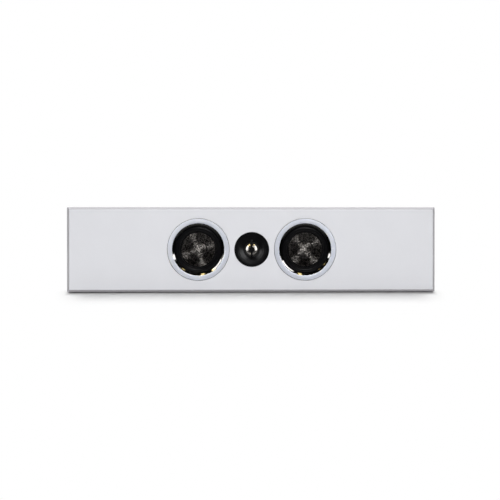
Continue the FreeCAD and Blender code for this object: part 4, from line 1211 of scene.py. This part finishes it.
@dataclass
class Studio:
    """The pale floor, the soft lights, the white surroundings and the camera."""

    image_pixels: float = 500.0
    view_width: float = 1.140
    camera_distance: float = 3.8
    camera_yaw: float = 2.5
    camera_lift: float = 0.8
    sensor: float = 36.0
    shift_right: float = 1.8
    shift_down: float = -0.5
    floor_reach: float = 6.0
    floor_fall: float = 9.0
    floor_start: float = 26 * MM
    floor_white: float = 0.68
    floor_roughness: float = 0.9
    dim_start: float = -0.12
    dim_end: float = -0.3
    fade_reach: float = 0.19
    end_inset: float = 60 * MM
    end_reach: float = 90 * MM
    end_contact: float = 6 * MM
    contact: float = 20 * MM
    ambient: float = 0.14
    room: float = 0.04
    room_edge: float = 0.3

    def build(self) -> None:
        """Builds the floor, the surroundings, the lights and the camera."""
        self.build_floor()
        self.build_world()
        self.build_lights()
        self.build_camera()

    def build_lights(self) -> None:
        """Adds the two softboxes, a lamp that only gloss shows and one that only the weave shows."""
        front = self.add_softbox("front_softbox", Vector((0.0, -3.4, 1.25)), (2.4, 1.8), 91.0)
        front.visible_glossy = False
        sparkle = self.add_softbox("front_sparkle", Vector((0.4, -3.0, 1.75)), (0.5, 0.4), 26.0)
        sparkle.visible_diffuse = False
        top = self.add_softbox("top_softbox", Vector((0.0, 0.35, 1.7)), (2.2, 1.0), 48.0)
        top.visible_glossy = False
        weave_lamp = self.add_softbox("weave_lamp", Vector((0.0, -3.4, 0.15)), (0.35, 0.3), 200.0)
        woven = [f"{side.value}_woofer_{part}" for side in Side for part in ("cone", "dust_cap")]
        show_only(weave_lamp, woven)

    def add_softbox(self, name: str, place: Vector, size: Spot, power: float) -> bpy.types.Object:
        """Adds an area light that looks at the middle of the object.

        Args:
            name: The light's name.
            place: Where it stands.
            size: Its width and height in metres.
            power: Its power in watts.

        Returns:
            The light.
        """
        light = add_light(name, size, power)
        light.location = place
        light.rotation_euler = (-place).to_track_quat("-Z", "Y").to_euler()
        return light

    def build_floor(self) -> None:
        """Builds the floor, which falls away gently in front of the object."""
        low, _ = CAD_BOX
        mesh = bmesh.new()
        bmesh.ops.create_grid(mesh, x_segments=1, y_segments=2, size=self.floor_reach)
        bmesh.ops.translate(mesh, verts=mesh.verts, vec=(0.0, low.y + self.floor_start, low.z))
        front = [vert for vert in mesh.verts if vert.co.y < low.y]
        fall = -self.floor_reach * math.tan(math.radians(self.floor_fall))
        bmesh.ops.translate(mesh, verts=front, vec=(0.0, 0.0, fall))
        data = settle("floor", mesh)
        data.materials.append(self.floor_material())
        add_object("floor", data)

    def floor_material(self) -> bpy.types.Material:
        """Makes a pale floor that keeps the object's shadow and fades to white away from it.

        Returns:
            The material.
        """
        low, high = CAD_BOX
        shading = Shading("pale_floor")
        shading.set("Base Color", (self.floor_white, self.floor_white, self.floor_white, 1.0))
        shading.set("Roughness", self.floor_roughness)
        shading.set("Specular IOR Level", 0.0)
        middle, half = (low + high) / 2, (high - low) / 2
        aside = shading.vector("ABSOLUTE", shading.vector("SUBTRACT", shading.place, tuple(middle)))
        beyond = shading.vector("SUBTRACT", aside, (half.x, half.y, self.floor_reach))
        inset = shading.vector("ADD", beyond, (self.end_inset, 0.0, 0.0))
        stretched = shading.vector("MULTIPLY", inset, (self.fade_reach / self.end_reach, 1.0, 1.0))
        away = shading.vector("LENGTH", shading.vector("MAXIMUM", stretched, (0.0, 0.0, 0.0)))
        across, ahead, _ = shading.parts(beyond)
        clear = shading.math("MAXIMUM", shading.span(across, -self.end_contact, self.end_contact),
                             shading.span(ahead, 0.0, self.contact))
        fade = shading.math("MULTIPLY", shading.span(away, 0.0, self.fade_reach, smooth=True), clear)
        white = shading.nodes.new("ShaderNodeEmission")
        path = shading.nodes.new("ShaderNodeLightPath")
        far = shading.span(shading.parts(shading.place)[1], self.dim_start, self.dim_end, smooth=True)
        dim = shading.math("MULTIPLY", far, path.outputs["Is Glossy Ray"])
        shading.put(white.inputs["Color"], shading.mix(dim, WHITE, (self.room, self.room, self.room)))
        mixed = shading.nodes.new("ShaderNodeMixShader")
        shading.put(mixed.inputs[0], shading.math("MULTIPLY", fade, shading.rays(*SEEING_RAYS)))
        shading.put(mixed.inputs[1], shading.shader.outputs[0])
        shading.put(mixed.inputs[2], white.outputs[0])
        shading.put(shading.nodes["Material Output"].inputs["Surface"], mixed.outputs[0])
        return shading.material

    def build_world(self) -> None:
        """Makes surroundings that are seen white, with a dim room in front that only gloss shows."""
        scene = bpy.context.scene
        scene.view_settings.view_transform = "Standard"
        world = bpy.data.worlds.new("white_studio")
        world.use_nodes = True
        scene.world = world
        graph = Graph(world.node_tree)
        direction = graph.nodes.new("ShaderNodeTexCoord").outputs["Generated"]
        behind = graph.span(graph.parts(direction)[1], -self.room_edge, self.room_edge, smooth=True)
        path = graph.nodes.new("ShaderNodeLightPath")
        gloss = graph.mix(behind, (self.room, self.room, self.room), WHITE)
        shown = graph.mix(path.outputs["Is Glossy Ray"], WHITE, gloss)
        ambient = (self.ambient, self.ambient, self.ambient)
        colour = graph.mix(graph.rays(*SEEING_RAYS), ambient, shown)
        graph.put(graph.nodes["Background"].inputs["Color"], colour)

    def build_camera(self) -> None:
        """Makes the camera at the photograph's angle."""
        data = bpy.data.cameras.new("camera")
        data.sensor_width = self.sensor
        data.lens = self.sensor * self.camera_distance / self.view_width
        data.shift_x = -self.shift_right / self.image_pixels
        data.shift_y = self.shift_down / self.image_pixels
        camera = add_object("camera", data)
        yaw, lift = math.radians(self.camera_yaw), math.radians(self.camera_lift)
        back = Vector((-math.sin(yaw) * math.cos(lift), -math.cos(yaw) * math.cos(lift), math.sin(lift)))
        camera.location = Vector((0.0, CAD_BOX[0].y, 0.0)) + back * self.camera_distance
        camera.rotation_euler = (-back).to_track_quat("-Z", "Y").to_euler()
        bpy.context.scene.camera = camera


def main() -> None:
    """Builds the studio, builds and dresses the sub-assemblies in order, and lights the cards last."""
    logging.basicConfig(level=logging.INFO)
    Studio().build()
    cabinet = Cabinet()
    cabinet.build()
    cabinet.dress()
    for side, weave_turn in ((Side.LEFT, -20.0), (Side.RIGHT, -40.0)):
        woofer = Woofer(side, weave_turn=weave_turn)
        woofer.build()
        woofer.dress()
    Tweeter().dress()
    for assembly in (Terminals(), Hangers()):
        assembly.build()
        assembly.dress()
    Crossover().dress()
    for card in CARDS:
        card.build()


if __name__ == "__main__":
    main()
